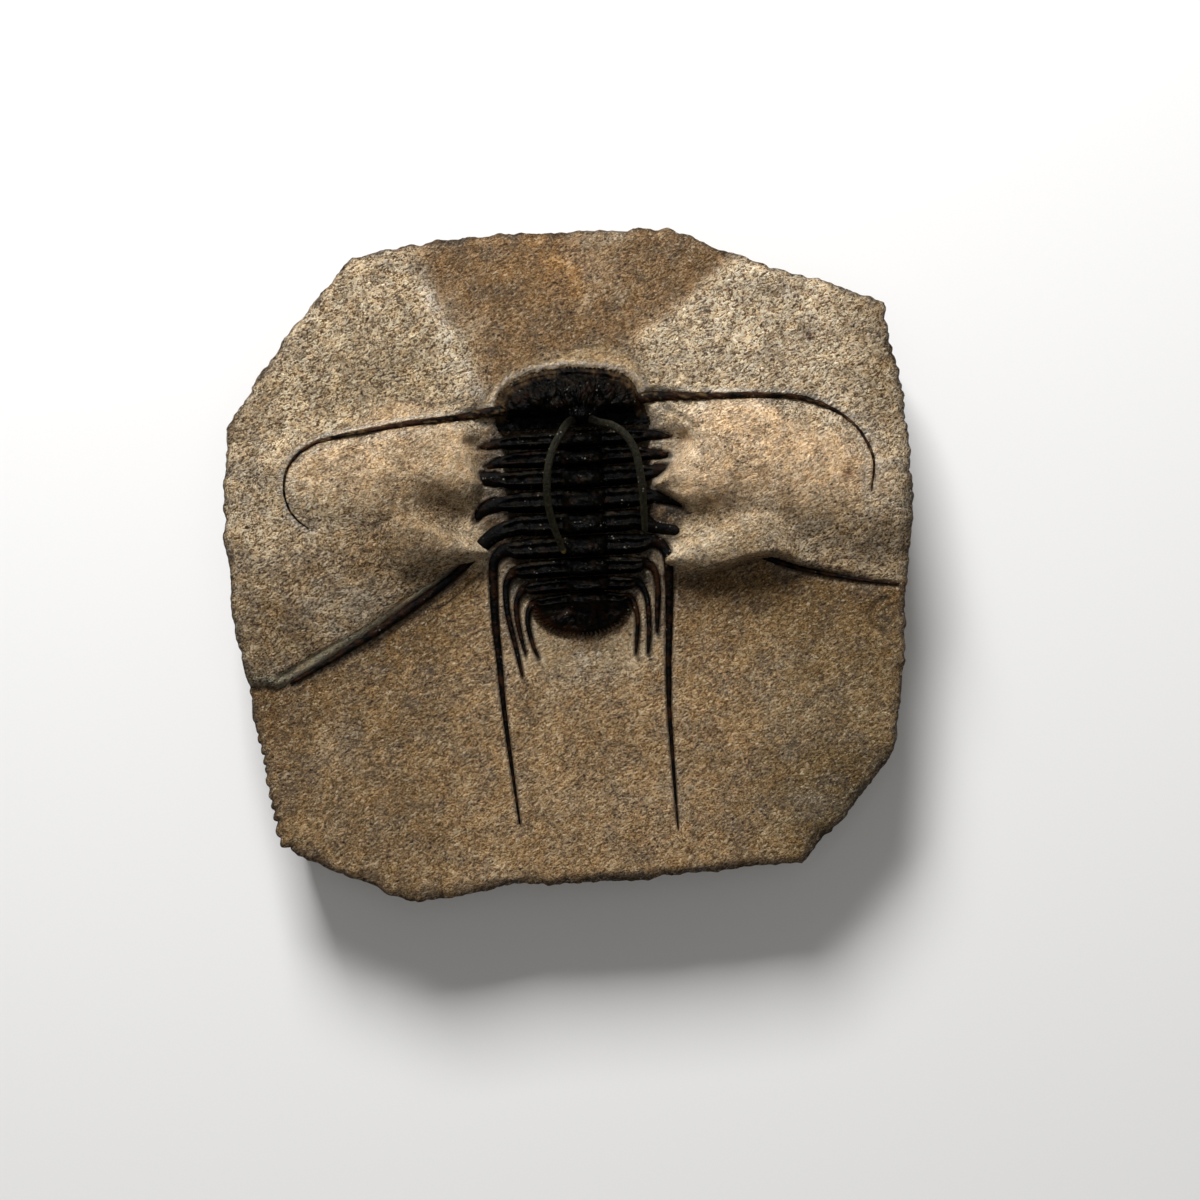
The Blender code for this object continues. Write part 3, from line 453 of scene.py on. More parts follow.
def scoop_share(x, y):
    """1 in the hollow in front of the head, 0 outside it."""
    inside = np.minimum(x - along_line(SCOOP_LEFT, y), along_line(SCOOP_RIGHT, y) - x)
    return ramp(-SCOOP_RUN / 2, SCOOP_RUN / 2, inside) * ramp(*SCOOP_ALONG, y)


def cheek_route(route):
    """Gives each (x, y, height, radius) station its height: its own, or just under the rock's face."""
    def level(x, y, z):
        return float(field_height(x, y)) - CHEEK_SINK if z is None else z

    return [(x, y, level(x, y, z), radius) for x, y, z, radius in route]


def from_own(route, height):
    """Turns (across, along, radius) stations into (x, y, z, radius) ones on the slab."""
    placed = []
    for across, along, radius in route:
        x, y = to_slab(across, along)
        placed.append((x, y, height(across, along, x, y), radius))
    return placed


def rear_height(number):
    """Height of a rear spine's middle: the long ones sink into the rock, the others lie on it."""
    def height(across, along, x, y):
        if number:
            return REAR_LEVEL
        share = np.interp(-along, [-place for place in OUTER_ALONG], (0, 1))
        return OUTER_LEVEL + (float(field_height(x, y)) - OUTER_SINK - OUTER_LEVEL) * float(share)
    return height


def side_routes(number):
    """The spines at the left and right end of a thorax plate, as stations on the slab."""
    if number < 4:
        return [from_own(route, lambda across, along, x, y: SIDE_LEVEL) for route in SIDE_SPINES[number]]
    if number == 4:
        return [FIFTH_LEFT, FIFTH_RIGHT]
    return [from_own(route, rear_height(number - 5)) for route in REAR_SPINES[number - 5]]


def place_object(name, data):
    """An object of some data, linked to the scene."""
    made = bpy.data.objects.new(name, data)
    bpy.context.scene.collection.objects.link(made)
    return made


def new_piece(name, bm, nodes, material):
    """Makes a smooth object of the bmesh, in metres, in place of the CAD nodes."""
    bmesh.ops.scale(bm, vec=(MM, MM, MM), verts=bm.verts)
    bmesh.ops.recalc_face_normals(bm, faces=bm.faces)
    mesh = bpy.data.meshes.new(name)
    bm.to_mesh(mesh)
    bm.free()
    mesh.shade_smooth()
    mesh.materials.append(material)
    piece = place_object(name, mesh)
    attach(piece, "root")
    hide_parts(*nodes)
    return piece


# The rock's face

# Cracks and scratches, on the slab: their line, depth and half width
SCRATCHES = [
    ([(-12.6, 0.3), (-15.5, -2.6), (-18.2, -5.2), (-20.8, -6.9)], 0.22, 0.3),
    ([(49.6, -4.9), (47.9, -5.7), (47, -7.4), (47.5, -9.2), (49.3, -10.2)], 0.5, 0.5),
    ([(50.6, -5.8), (49.3, -6.6), (49, -8), (49.9, -9)], 0.45, 0.42),
    ([(15.4, 24.2), (17.2, 23.2), (19.6, 21.4)], 0.5, 0.55),
    ([(-50.6, -18.6), (-48.8, -19), (-47.6, -18.4), (-46.4, -19.1), (-44.6, -18.7)], 0.5, 0.45),
    ([(-19.6, 24.9), (-18.2, 25.2), (-17, 25.6)], 0.3, 0.3),
]
VERGE_TOP = 20.85            # crumbs that stand round the front of the head
VERGE_CRUMBS = 24            # how many of them per radian
BED_HALF_WIDTHS = [(-10, 0), (-7, 2.4), (6, 2.4), (11, 0.8), (13, 0)]


def rock_form(x, y):
    """Height of the rock's face with its banks, grooves and scratches, and what its finish needs."""
    across, along = to_own(x, y)
    height = open_height = open_field(x, y)
    inside = depth_inside(POCKET_EDGE, across, along)
    pocket = pocket_share(along, inside)
    bank = ramp(-0.3, 0.9, np.abs(across - 0.5) - along_line(BANK_INNER, along))
    rear = ramp(-5, -9, along)
    top = BANK_TOP + (REAR_BANK_TOP - BANK_TOP) * rear
    top = top + 0.16 * face_lumps(x, y, 2.2, 2) - 0.9 * (1 - ramp(-31, -22, along))
    top = top + 0.22 * bank * (1 - rear) * face_lumps(0.22 * across, along, 0.75, 2, 5)
    top = top + 0.07 * bank * rear * face_lumps(across, 0.12 * along, 0.5, 2, 9)
    bank = bank * ramp(15, 13.5, along)
    floor = bed_floor(along)
    floor = floor + (top - floor) * bank
    height = height + (np.minimum(floor, height) - height) * pocket
    # stain darkens the rock: painted shadow, partly dirt, right beside the spines, darker scratches, and a
    # brown band at the head's margin. light lightens it: a painted highlight on the lamp side of the cheek
    # spines' grooves, pale rims by the other spines, and pale crumbs before the head.
    stain, light = np.zeros((2, len(x)))
    sides = [route for number in range(9) for route in side_routes(number) if number != 4]
    for route in (*sides, FIFTH_LEFT[2:], FIFTH_RIGHT[4:]):
        away, side, level, radius = beside_route(smooth_route(route, 3), x, y)
        groove = level - 0.35 * radius + np.maximum(0, away - 0.95 * radius) * 4
        groove = groove + 9 * ramp(1.2, 2.4, open_height - level) * (1 - pocket)
        height = np.minimum(height, groove)
        # Painted shadow, partly dirt, where the rock meets a spine.
        shadow_and_soil = ramp(0.3, 0, away - radius) * ramp(1.5, 0.8, height - level)
        stain = np.maximum(stain, shadow_and_soil)
        light = np.maximum(light, 0.2 * hump(away - radius, 0.5, 0.25))
    for route, upper in ((CHEEK_LEFT, -1), (CHEEK_RIGHT, 1)):
        away, side, level, radius = beside_route(smooth_route(cheek_route(route), 3), x, y)
        near = away - radius
        above = (side * upper > 0).astype(float)
        height = height + 0.16 * above * hump(near, 0.42, 0.26)
        height = height - 0.28 * (1 - above) * ramp(2, 0.5, near)
        height = np.minimum(height, level - 0.35 * radius + np.maximum(0, near) * 2)
        # Painted shadow in the groove that hugs a cheek spine, and a painted highlight on the lip on its lamp
        # side.
        stain = np.maximum(stain, 0.8 * ramp(0.14, -0.05, near))
        light = np.maximum(light, above * hump(near, 0.42, 0.24))
        light = np.maximum(light, 0.35 * (1 - above) * hump(near, 0.9, 0.6))
    away, side, level, radius = beside_route(smooth_route(FIFTH_LEFT[2:], 3), x, y)
    near = away - radius
    wide = 0.9 * ramp(-17, -25, x) + 0.7 * ramp(-30, -42, x)
    ledge = (side < 0) * ramp(wide + 0.35, wide, near) * (near > 0)
    ledge = ledge * ramp(-17, -19, x)
    shelf = level + 0.35 + 0.08 * np.maximum(near, 0) + 0.12 * face_lumps(near, 0.1 * x, 0.5, 2, 81)
    height = height + (np.minimum(shelf, height) - height) * ledge
    for points, depth, width in SCRATCHES:
        route = smooth_route([(*point, 0, 0) for point in points], 3)
        away = beside_route(route, x, y)[0]
        height = height - depth * hump(away, 0, width)
        stain = np.maximum(stain, 0.75 * hump(away, 0, width * 0.8))
    from_head = -depth_inside(HEAD_FRONT, across, along)
    serration = np.abs(((np.arctan2(along - 13, across) * VERGE_CRUMBS) % 1) - 0.5) * 2
    ahead = ramp(13, 14.5, along)
    verge = ahead * ramp(0.3, 0.55, from_head) * ramp(1.15 + 0.6 * serration, 0.75, from_head)
    height = height + (np.maximum(height, VERGE_TOP + 0.3 * serration) - height) * verge
    light = np.maximum(light, verge * (0.4 + 0.6 * serration))
    stain = np.maximum(stain, 0.45 * ahead * hump(from_head, 0.2, 0.25))
    lip = hump(inside, 0.2, 0.8) * ramp(13.5, 15.5, along)
    lip = held(lip + hump(inside, 1.6, 1.3) * ramp(14.5, 17, along))
    rings = lumps(np.column_stack([inside, 0.1 * across, 0.1 * along]), 0.42, 2, 71) * lip
    return SimpleNamespace(
        height=height + 0.14 * rings, open=open_height, across=across, along=along, inside=inside,
        bank=bank * pocket, rear=rear, stain=stain, light=held(light), lip=lip, pocket=pocket,
        ledge=ledge, rings=rings,
    )


def rock_relief(x, y, form):
    """Pecks and low waves of the worked face, in millimetres."""
    pecks = face_lumps(0.82 * x + 0.57 * y, 1.7 * (-0.57 * x + 0.82 * y), 1.25, 2, 3)
    knots = face_lumps(x, y, 1.5, 2, 21)
    waves = face_lumps(x, y, 9, 2, 11) * (1 - ramp(-0.5, 1.5, form.inside))
    return grit_of(x, y, form) * (0.2 * pecks + 0.1 * knots) + 0.16 * waves


def grit_of(x, y, form):
    """How strongly the rock is pecked: most on the upper fields, least beside spines and on noses."""
    lower = 1 - step_share(x, y)
    near_nose = ramp(27, 16, np.hypot(form.across, form.along + 1))
    grit = 1 - 0.28 * lower - 0.35 * scoop_share(x, y)
    for share, where in (
        (0.42, ramp(0.2, 2, form.open - MOUND_FOOT)), (0.5, near_nose * (1 - lower)),
        (0.55, form.light), (0.75, form.stain), (0.7, form.ledge), (0.5, form.bank * form.rear),
        (0.35, form.lip),
    ):
        grit = grit * (1 - share * where)
    return held(grit)


# Colours of the rock's zones. "under" and "shade" are painted shade, "dark" is mostly painted shade, and
# "edge" is painted shade along the worn rim and the base colour of the broken sides.
ZONES = {
    "field": linear(163, 146, 120), "field_right": linear(176, 160, 135), "far_right": linear(132, 116, 92),
    "scoop": linear(110, 88, 61), "mound": linear(178, 153, 122), "mound_left": linear(170, 147, 117),
    "lower": linear(138, 114, 82), "lower_left": linear(124, 102, 72), "lower_right": linear(116, 96, 66),
    "corner": linear(84, 70, 46), "ochre": linear(150, 110, 62), "grey": linear(150, 140, 122),
    "bed": linear(104, 84, 60), "rust": linear(104, 56, 30), "edge": linear(60, 48, 34),
    "bank": linear(146, 127, 99), "white": linear(196, 190, 178), "dark": linear(38, 31, 23),
    "under": linear(98, 76, 45), "left_far": linear(112, 98, 76), "shade": linear(72, 54, 34),
    "left_mid": linear(136, 120, 94), "pale": linear(150, 144, 122),
}
RUST_SPOTS = ((42.9, 14.1), (37.2, 35.6), (29, 27))
SCOOP_BAND = [(-23.5, 46, 0, 0), (-19.5, 37, 0, 0), (-13.4, 26.5, 0, 0)]


def lay_zones(colour, *layers):
    """Lays zones over the colours, one after another, each by a share at each place."""
    for name, share in layers:
        colour = toward(colour, np.array(ZONES[name]), held(share))
    return colour


def spot(x, y, middle, half):
    """A soft round patch."""
    return np.exp(-((x - middle[0]) / half[0]) ** 2 - ((y - middle[1]) / half[1]) ** 2)


def rock_colour(x, y, form, rim):
    """Colour of the rock at each place, before its fine stipple."""
    def at(*place):
        return spot(x, y, place[:2], place[2:])

    patch = face_lumps(x, y, 14, 3, 31)
    small = face_lumps(x, y, 4, 3, 41)
    lower = 1 - step_share(x, y)
    over = above_step(x, y)
    along = form.along
    beside = np.abs(x)
    brow = ramp(27, 10, over) * ramp(-12, -30, x) * (1 - lower)
    raised = ramp(0.4, 2.2, form.open - MOUND_FOOT) * ramp(4, 12, y)
    band = beside_route(SCOOP_BAND, x, y)[0]
    near_edge = ramp(3, 0.6, over) * (1 - lower) * ramp(14, 17, beside)
    below_tail = spot(form.across, along, (0.5, -25), (8.5, 5))
    bed = ramp(0, 3.5, form.inside) * (1 - ramp(-20, -25, along))
    reach = along_line(BED_HALF_WIDTHS, along)
    between = ramp(14.2 + reach, 11 + reach, np.abs(form.across - 0.5))
    between = between * ramp(-16, -13, along) * ramp(15, 13.5, along)
    colour = lay_zones(
        np.tile(np.array(ZONES["field"]), (len(x), 1)),
        ("field_right", ramp(5, 25, x) * ramp(18, 28, y)),
        ("far_right", ramp(38, 50, x + 3 * small)),
        ("far_right", 0.5 * ramp(-42, -52, x + 3 * small)),
        ("left_mid", 0.8 * at(-30, 29, 13, 7)),
        # Painted shade, with some of the rock's own darker tone, where the upper field falls below the left
        # mound to the step: "left_far" and the two "under" spots on it.
        ("left_far", 0.85 * brow),
        ("under", 0.5 * brow * at(-32, -2, 12, 8)),
        ("under", 0.6 * brow * at(-44, -6, 9, 9)),
        ("mound", raised * ramp(-4, 4, x)),
        ("mound_left", raised * ramp(4, -4, x)),
        # Painted shade in the valleys between the mounds' noses and on the mounds' undersides.
        ("under", 0.2 * at(-15.5, 12.8, 4, 2.6)),
        ("under", 0.2 * at(15.5, 12.8, 4, 2.6)),
        ("under", 0.6 * at(-19, 8.5, 4, 2.6)),
        ("under", 0.6 * at(20.5, 7.5, 4, 2.6)),
        ("under", 0.85 * at(35.5, 6, 11, 5.5)),
        ("under", 0.5 * at(-28, 5, 10, 6)),
        ("scoop", scoop_share(x, y)),
        ("ochre", 0.55 * at(-1.5, 47.5, 6, 5) * (0.7 + 0.6 * small)),
        ("white", 0.6 * hump(band + 1.6 * small, 0, 1.2) * (0.6 + 1.5 * small)),
        ("lower", lower),
        ("lower_left", lower * ramp(-14, -22, x)),
        ("lower_right", lower * ramp(22, 40, x)),
        ("corner", lower * at(45, -38, 12, 10)),
        # Painted shadow on the lower field below the step, and painted shade on the upper field at the step's
        # brink.
        ("under", 0.75 * ramp(-16, -1, over) * lower * ramp(12, 18, beside)),
        ("shade", 0.15 * ramp(-4.5, -0.5, over) * lower * ramp(14, 18, beside)),
        ("under", 0.5 * near_edge * ramp(48, 38, x)),
        ("grey", 0.55 * below_tail * (0.8 + small)),
        ("bed", bed * ramp(15, 13, along)),
        ("bank", 0.9 * form.bank * form.rear),
        # Painted shade in the bed between the plates' ends and the mounds, and in the right cirque.
        ("dark", 0.85 * between * form.pocket),
        ("dark", 0.8 * at(15.9, 8.2, 3, 3.6) * ramp(0.25, 0.7, form.pocket)),
        ("bank", 0.6 * form.lip),
    )
    # The lip's rings lighten the colour where they stand up and darken it where they sink: painted light and
    # shade on the relief that they also raise.
    colour = colour * held(1 + 1.1 * form.rings, 0.3, 1.9)[:, None]
    clumps = face_lumps(x, y, 2.2, 3, 47) * (1 - 0.5 * lower)
    colour = lay_zones(
        colour,
        ("grey", (0.35 - 0.2 * lower) * ramp(0.1, 0.7, patch)),
        ("bed", 0.3 * ramp(0.15, 0.8, -patch)),
        ("bed", 0.45 * ramp(0.15, 0.5, clumps) * (1 - form.lip)),
    )
    colour = colour * ((1.7 - 0.3 * lower) * (1 + 0.22 * small + 0.12 * patch))[:, None]
    flaky = hump(over, 0.9, 1.1) * ramp(-39, -45, x)
    bevel = at(16, -49, 19, 5) > 0.45
    return held(lay_zones(
        colour,
        ("pale", np.maximum(0.75 * form.ledge, 0.6 * flaky) * (0.8 + 1.4 * small)),
        *[("rust", 0.85 * at(*middle, 0.7, 0.6)) for middle in RUST_SPOTS],
        # Painted highlight on the lamp side of the cheek spines' grooves, with the pale rims by the other
        # spines and the pale crumbs before the head.
        ("white", 0.75 * form.light),
        # Painted shadow, partly dirt, along the spines, with the darker scratches and the brown band at the
        # head's margin.
        ("dark", 0.85 * form.stain),
        # Painted shade along the worn rim, wider where the rear edge is bevelled.
        ("edge", 0.85 * ramp(1 + 0.8 * bevel, 0.1 + 0.5 * bevel, rim + 0.6 * small)),
    ))


def edge_reach(angle):
    """Distance from the slab's middle to its edge in each direction."""
    corners = np.array(SLAB_EDGE)
    turns = np.arctan2(corners[:, 1], corners[:, 0])
    order = np.argsort(turns)
    corners = np.vstack([corners[order[-1:]], corners[order], corners[order[:1]]])
    turns = np.concatenate([turns[order[-1:]] - math.tau, turns[order], turns[order[:1]] + math.tau])
    start = np.clip(np.searchsorted(turns, angle, side="right") - 1, 0, len(turns) - 2)
    from_corner = corners[start]
    side = corners[start + 1] - from_corner
    reach = from_corner[:, 0] * side[:, 1] - from_corner[:, 1] * side[:, 0]
    return reach / (np.cos(angle) * side[:, 1] - np.sin(angle) * side[:, 0])


def edge_bites(angle, reach):
    """What the small chips and the nibbled stretches take off the edge."""
    def stretch(low, high):
        return ramp(low - 1, low, y) * ramp(high + 1, high, y)

    x, y = reach * np.cos(angle), reach * np.sin(angle)
    chips = 0.4 * face_lumps(x, y, 2, 3, 51) + 0.4 * face_lumps(x, y, 7, 2, 57)
    drift = y + 0.9 * face_lumps(x, y, 5, 2, 59)
    nibble = (1 - np.abs(np.sin(np.pi * drift / NIBBLE_PITCH))) ** 1.5 * NIBBLE_DEPTH
    return chips + nibble * ((x < 0) * stretch(*NIBBLE_LEFT) + 0.6 * (x > 0) * stretch(*NIBBLE_RIGHT))


def slab_places(square, course):
    """Places of the slab's corners, and the colour and grit of the rock there."""
    ring = np.abs(square).max(axis=1)
    dense = square * (FACE_DENSE + (1 - FACE_DENSE) * ring[:, None] ** 2)
    half = np.abs(np.array(SLAB_EDGE)).max(axis=0)
    plain = dense * half
    angle = np.arctan2(plain[:, 1], plain[:, 0])
    square_reach = 1 / np.maximum(np.abs(np.cos(angle)) / half[0], np.abs(np.sin(angle)) / half[1])
    reach = edge_reach(angle)
    fit = (reach - edge_bites(angle, reach)) / square_reach
    inward = np.abs(dense).max(axis=1)
    x, y = (plain * (1 + (fit - 1) * inward)[:, None]).T
    from_rim = (1 - inward) * reach
    form = rock_form(x, y)
    worn_width = EDGE_ROUND * (0.75 + 0.6 * face_lumps(x, y, 5, 2, 61))
    worn = EDGE_DROP * ramp(np.maximum(worn_width, 0.4), 0, from_rim)
    height = form.height + rock_relief(x, y, form) - worn
    down = course / SIDE_COURSES
    side = course > 0
    swell = SIDE_BULGE * np.sin(SIDE_WAVES[0] * x) * np.cos(SIDE_WAVES[1] * y)
    inset = np.interp(down, (0, WAIST_DOWN, 1), (0, 1, 0)) * (WAIST_INSET + swell)
    inset = inset + FOOT_INSET * ramp(WAIST_DOWN, 1, down)
    height_below = height * (1 - down)
    wall = np.column_stack([x, y, height_below])
    rough = 0.55 * lumps(wall, 4.5, 3, 71) + 0.22 * lumps(wall, 1.3, 2, 77)
    inset = inset + rough * ramp(0, 0.08, down) * ramp(1, 0.93, down)
    shrink = 1 - np.where(side, inset, 0) / np.hypot(x, y).clip(1)
    wall_colour = lay_zones(
        np.tile(np.array(ZONES["edge"]), (len(x), 1)),
        ("bed", 0.55 + 0.5 * lumps(wall, 6, 3, 81)),
        ("lower", ramp(0.25, 0.6, down) * (0.5 + 0.4 * lumps(wall, 9, 2, 87))),
    )
    colour = np.where(side[:, None], wall_colour, rock_colour(x, y, form, from_rim))
    places = np.column_stack([x * shrink, y * shrink, np.where(side, height_below, height)])
    return places, colour, np.where(side, SIDE_GRIT, grit_of(x, y, form))


def build_rock(cells, material):
    """The slab: a grid for its face, courses of cells down its broken sides and a flat underside."""
    bm = bmesh.new()
    bmesh.ops.create_grid(bm, x_segments=cells, y_segments=cells, size=1)
    course_of = bm.verts.layers.int.new("course")
    rim = [edge for edge in bm.edges if edge.is_boundary]
    for course in range(1, SIDE_COURSES + 1):
        made = bmesh.ops.extrude_edge_only(bm, edges=rim)["geom"]
        for vert in made:
            if isinstance(vert, bmesh.types.BMVert):
                vert[course_of] = course
        rim = [edge for edge in made if isinstance(edge, bmesh.types.BMEdge) and edge.is_boundary]
    bmesh.ops.edgeloop_fill(bm, edges=rim)
    square = np.array([vert.co[:2] for vert in bm.verts])
    course = np.array([vert[course_of] for vert in bm.verts])
    tint = bm.verts.layers.float_color.new("tint")
    grit = bm.verts.layers.float.new("grit")
    columns = [values.tolist() for values in slab_places(square, course)]
    for vert, place, colour, rough in zip(bm.verts, *columns):
        vert.co = place
        vert[tint] = (*colour, 1)
        vert[grit] = rough
    return new_piece("slab_rock", bm, ["matrix_slab"], material)


# The shell

BLACK = np.array(linear(4, 3, 3))
RIDGE = np.array(linear(37, 33, 26))
BROWN = np.array(linear(52, 32, 18))
OLIVE = 0.55 * np.array(linear(25, 24, 17))
OLIVE_EDGE = np.array(linear(44, 42, 31))
TAN = np.array(linear(110, 88, 60))
SEAM = 0.004                 # places nearer than this are one place
STATION_SPACING = 0.22       # along spines and horns


def add_skin(bm, places, stains):
    """Adds a closed skin through rows of places (row, corner, xyz), with a stain for each place."""
    rows, corners = places.shape[:2]
    grid = bmesh.ops.create_grid(bm, x_segments=rows - 1, y_segments=corners - 1, size=1)["verts"]
    stain = bm.verts.layers.float_color["stain"]
    for vert in grid:
        row = round((vert.co.x + 1) / 2 * (rows - 1))
        corner = round((vert.co.y + 1) / 2 * (corners - 1))
        vert.co = places[row, corner]
        vert[stain] = (*stains[row, corner], 1)
    bmesh.ops.remove_doubles(bm, verts=grid, dist=SEAM)


def new_shell_bmesh():
    """An empty bmesh whose corners take a stain."""
    bm = bmesh.new()
    bm.verts.layers.float_color.new("stain")
    return bm


def run_along(places):
    """Distance along a row of places, from its first one to each."""
    return np.concatenate([[0], np.cumsum(np.linalg.norm(np.diff(places, axis=0), axis=1))])


def read_along(places, run, spots):
    """Columns of a row of places, read at other distances along it."""
    return np.column_stack([np.interp(spots, run, column) for column in places.T])


def even_route(stations, spacing):
    """Rounds a route and spaces its stations evenly, at about the spacing."""
    dense = np.array(smooth_route(stations, 12))
    run = run_along(dense[:, :3])
    spots = np.linspace(0, run[-1], max(4, int(run[-1] / spacing)) + 1)
    return read_along(dense, run, spots), spots


def across_of(places):
    """Unit vectors square to a route, level with the slab."""
    ahead = np.gradient(places[:, :2], axis=0)
    ahead /= np.linalg.norm(ahead, axis=1)[:, None]
    return np.column_stack([-ahead[:, 1], ahead[:, 0]])


def round_skin(stations, corners, flat=0.9, groove=0, worn=0.06):
    """Rows of places round a tapering spine, closed to a point at both ends."""
    route, run = even_route(stations, STATION_SPACING)
    turn = np.linspace(0, math.tau, corners + 1)
    radius = route[:, 3:4] * np.ones((1, corners + 1))
    around = [route[:, 0:1] + 0 * radius, route[:, 1:2] + 0 * radius, 0.9 * (np.cos(turn) + 0 * radius)]
    radius = radius * (1 + worn * lumps(np.stack(around, axis=2), 1, 3, 7))
    end = np.minimum(run, run[-1] - run)[:, None]
    radius = radius * np.sqrt(held(end / route[:, 3:4] / 1.1))
    up = radius * np.sin(turn) * flat
    up = up - groove * radius * hump(np.cos(turn), 0, 0.28) * (np.sin(turn) > 0)
    places = np.empty((len(route), corners + 1, 3))
    places[:, :, :2] = route[:, None, :2] + across_of(route)[:, None, :] * (radius * np.cos(turn))[:, :, None]
    places[:, :, 2] = route[:, None, 2] + up
    return places, route, run, turn


def add_spine(bm, stations):
    """A black spine, brown where it is thin or worn."""
    places, route = round_skin(stations, 16, worn=0.28)[:2]
    stretch = places * (0.5, 1.6, 1)
    share = held(0.45 + 1.5 * lumps(stretch, 1.5, 3, 15)) * held(1.25 - route[:, 3:4], 0.1)
    streak = held(lumps(stretch, 0.7, 2, 16) * 2.2 - 0.5, 0, 0.5)
    add_skin(bm, places, toward(toward(BLACK, BROWN, share), TAN, streak))


def add_horn(bm, stations, broken):
    """A free horn: olive grey, lighter along its edges, with a dark line along its back."""
    places, _, run, turn = round_skin(stations, 20, 0.85, 0.12)
    shade = held(0.25 + 0.75 * np.abs(np.cos(turn))[None, :] ** 2 + 0.5 * lumps(places, 0.5, 2, 19))
    stains = toward(OLIVE, OLIVE_EDGE, shade)
    stains = toward(stains, 2 * BLACK, 0.75 * ramp(5, 1, run)[:, None])
    if broken:
        stains = toward(stains, TAN, ramp(run[-1] - 0.8, run[-1] - 0.2, run)[:, None])
    add_skin(bm, places, stains)


def fan_skin(origin, outline, rows, teeth, tooth, place):
    """Rows of places from a middle point out to a toothed outline. place(x, y, edge distance) is z."""
    columns = teeth * 6
    corners = np.array(outline)
    run = run_along(corners)
    rim = read_along(corners, run, np.linspace(0, run[-1], columns + 1))
    reach = np.linalg.norm(rim - origin, axis=1)
    out = (rim - origin) / reach[:, None]
    share = 1 - (1 - np.linspace(0, 1, rows + 1)) ** 1.35
    point = 1 - np.abs(2 * ((np.arange(columns + 1) / 6) % 1) - 1)
    spread = share[None, :] * reach[:, None]
    spread = spread + tooth * point[:, None] * ramp(0.955, 1, share)[None, :]
    plan = origin + out[:, None, :] * spread[:, :, None]
    from_edge = reach[:, None] - spread
    height = place(plan[:, :, 0], plan[:, :, 1], from_edge)
    return plan, height - 0.35 * ramp(0.9, 1, share)[None, :] ** 2, from_edge


def add_shield(bm, plan, height, stains):
    """Adds a shield by its own plan and heights, with a darker skirt down to a flat underside."""
    top = np.stack([*to_slab(plan[:, :, 0], plan[:, :, 1]), height], axis=2)
    skirt = top[:, -1:].copy()
    middle = skirt * 0 + top[:1, :1]
    skirt[:, :, 2] = middle[:, :, 2] = SHELL_UNDER
    dark = 0.5 * stains[:, -1:]
    add_skin(bm, np.concatenate([top, skirt, middle], axis=1), np.concatenate([stains, dark, dark], axis=1))


def head_height(across, along, from_edge):
    """Height of the head shield over the slab's underside."""
    inner = np.clip(from_edge, 0, None)
    height = HEAD_RIM_TOP + 0.28 * hump(inner, 0.45, 0.42) - 0.2 * hump(inner, 1.15, 0.3)
    height = height + HEAD_RISE * np.sin(math.pi / 2 * held((inner - 0.8) / 4))
    for middle_across, middle_along, half_width, half_length, rise in HEAD_LOBES:
        away = ((across - middle_across) / half_width) ** 2 + ((along - middle_along) / half_length) ** 2
        height = height + 0.75 * rise * held(1 - away) ** 1.1
        height = height - 0.16 * hump(np.sqrt(away), 1.1, 0.16) * (rise > 1)
    drop = ramp(14.7, 12.9, along) * held(((across - 1.7) / 3.2) ** 2)
    height = height + (NECK_TOP - height) * drop * ramp(0.2, 1.4, inner + 0.6)
    lateral = hump(across - 1.2, 0, 3.6) - hump(across - 1.2, 0, 2)
    return height + 0.3 * lateral * np.cos(2.4 * (along - 14.4)) * hump(along, 16, 2.4)


def build_head(material):
    """The head shield with its toothed border, cheek spines and neck horns."""
    bm = new_shell_bmesh()
    outline = [(HEAD_HALF_WIDTH, HEAD_BACK), *HEAD_FRONT, (-HEAD_HALF_WIDTH, HEAD_BACK)]
    origin = np.array((0.2, HEAD_BACK))
    plan, height, from_edge = fan_skin(origin, outline, 52, HEAD_TEETH, HEAD_TOOTH, head_height)
    own = np.dstack([plan, height])
    knobs = grains(own * (1, 1, 0.2), 0.62, 2)
    fine = lumps(own * (1.6, 0.8, 1), 0.9, 3, 25)
    height = height + (0.26 * knobs + 0.42 * fine) * ramp(0.9, 1.5, from_edge) + 0.1 * fine
    add_shield(bm, plan, height, head_stains(plan, from_edge, knobs, fine))
    for route in (CHEEK_LEFT, CHEEK_RIGHT):
        add_spine(bm, cheek_route(route))
    for horn, broken in ((HORN_LEFT, True), (HORN_RIGHT, False)):
        stations = [(*to_slab(across, along), level, radius) for across, along, level, radius in horn]
        add_horn(bm, stations, broken)
    return new_piece("head_shell", bm, ["cephalon"], material)


def head_stains(plan, from_edge, knobs, fine):
    """Grey-brown in front, partly worn shell and partly painted light on the front slope that faces the lamp;
    brown along the border's sides, black towards the neck.
    """
    across, along = plan[:, :, 0], plan[:, :, 1]
    mottle = face_lumps(across, along, 1.6, 3, 35)
    # The front's grey is partly wear and partly painted light on the front slope, which faces the lamp.
    front = ramp(13.6, 15.2, along + 0.4 * mottle)
    worn = held(0.1 + 0.7 * mottle + 0.3 * (knobs - 0.35) + 0.5 * fine, 0, 0.8) * front
    warm = held(face_lumps(across, along, 2.2, 2, 36) * 1.4, 0, 0.5) * front
    stains = toward(toward(BLACK, RIDGE, worn), 0.35 * BROWN, warm)
    border = held(0.09 * np.abs(across - 0.5) - 0.1 + 0.9 * mottle, 0, 0.9)
    border = ramp(2.1, 0.9, from_edge + 0.5 * mottle) * border * ramp(12, 14, along)
    return toward(stains, toward(0.6 * BROWN, 0.5 * TAN, held(0.5 + fine)), border)


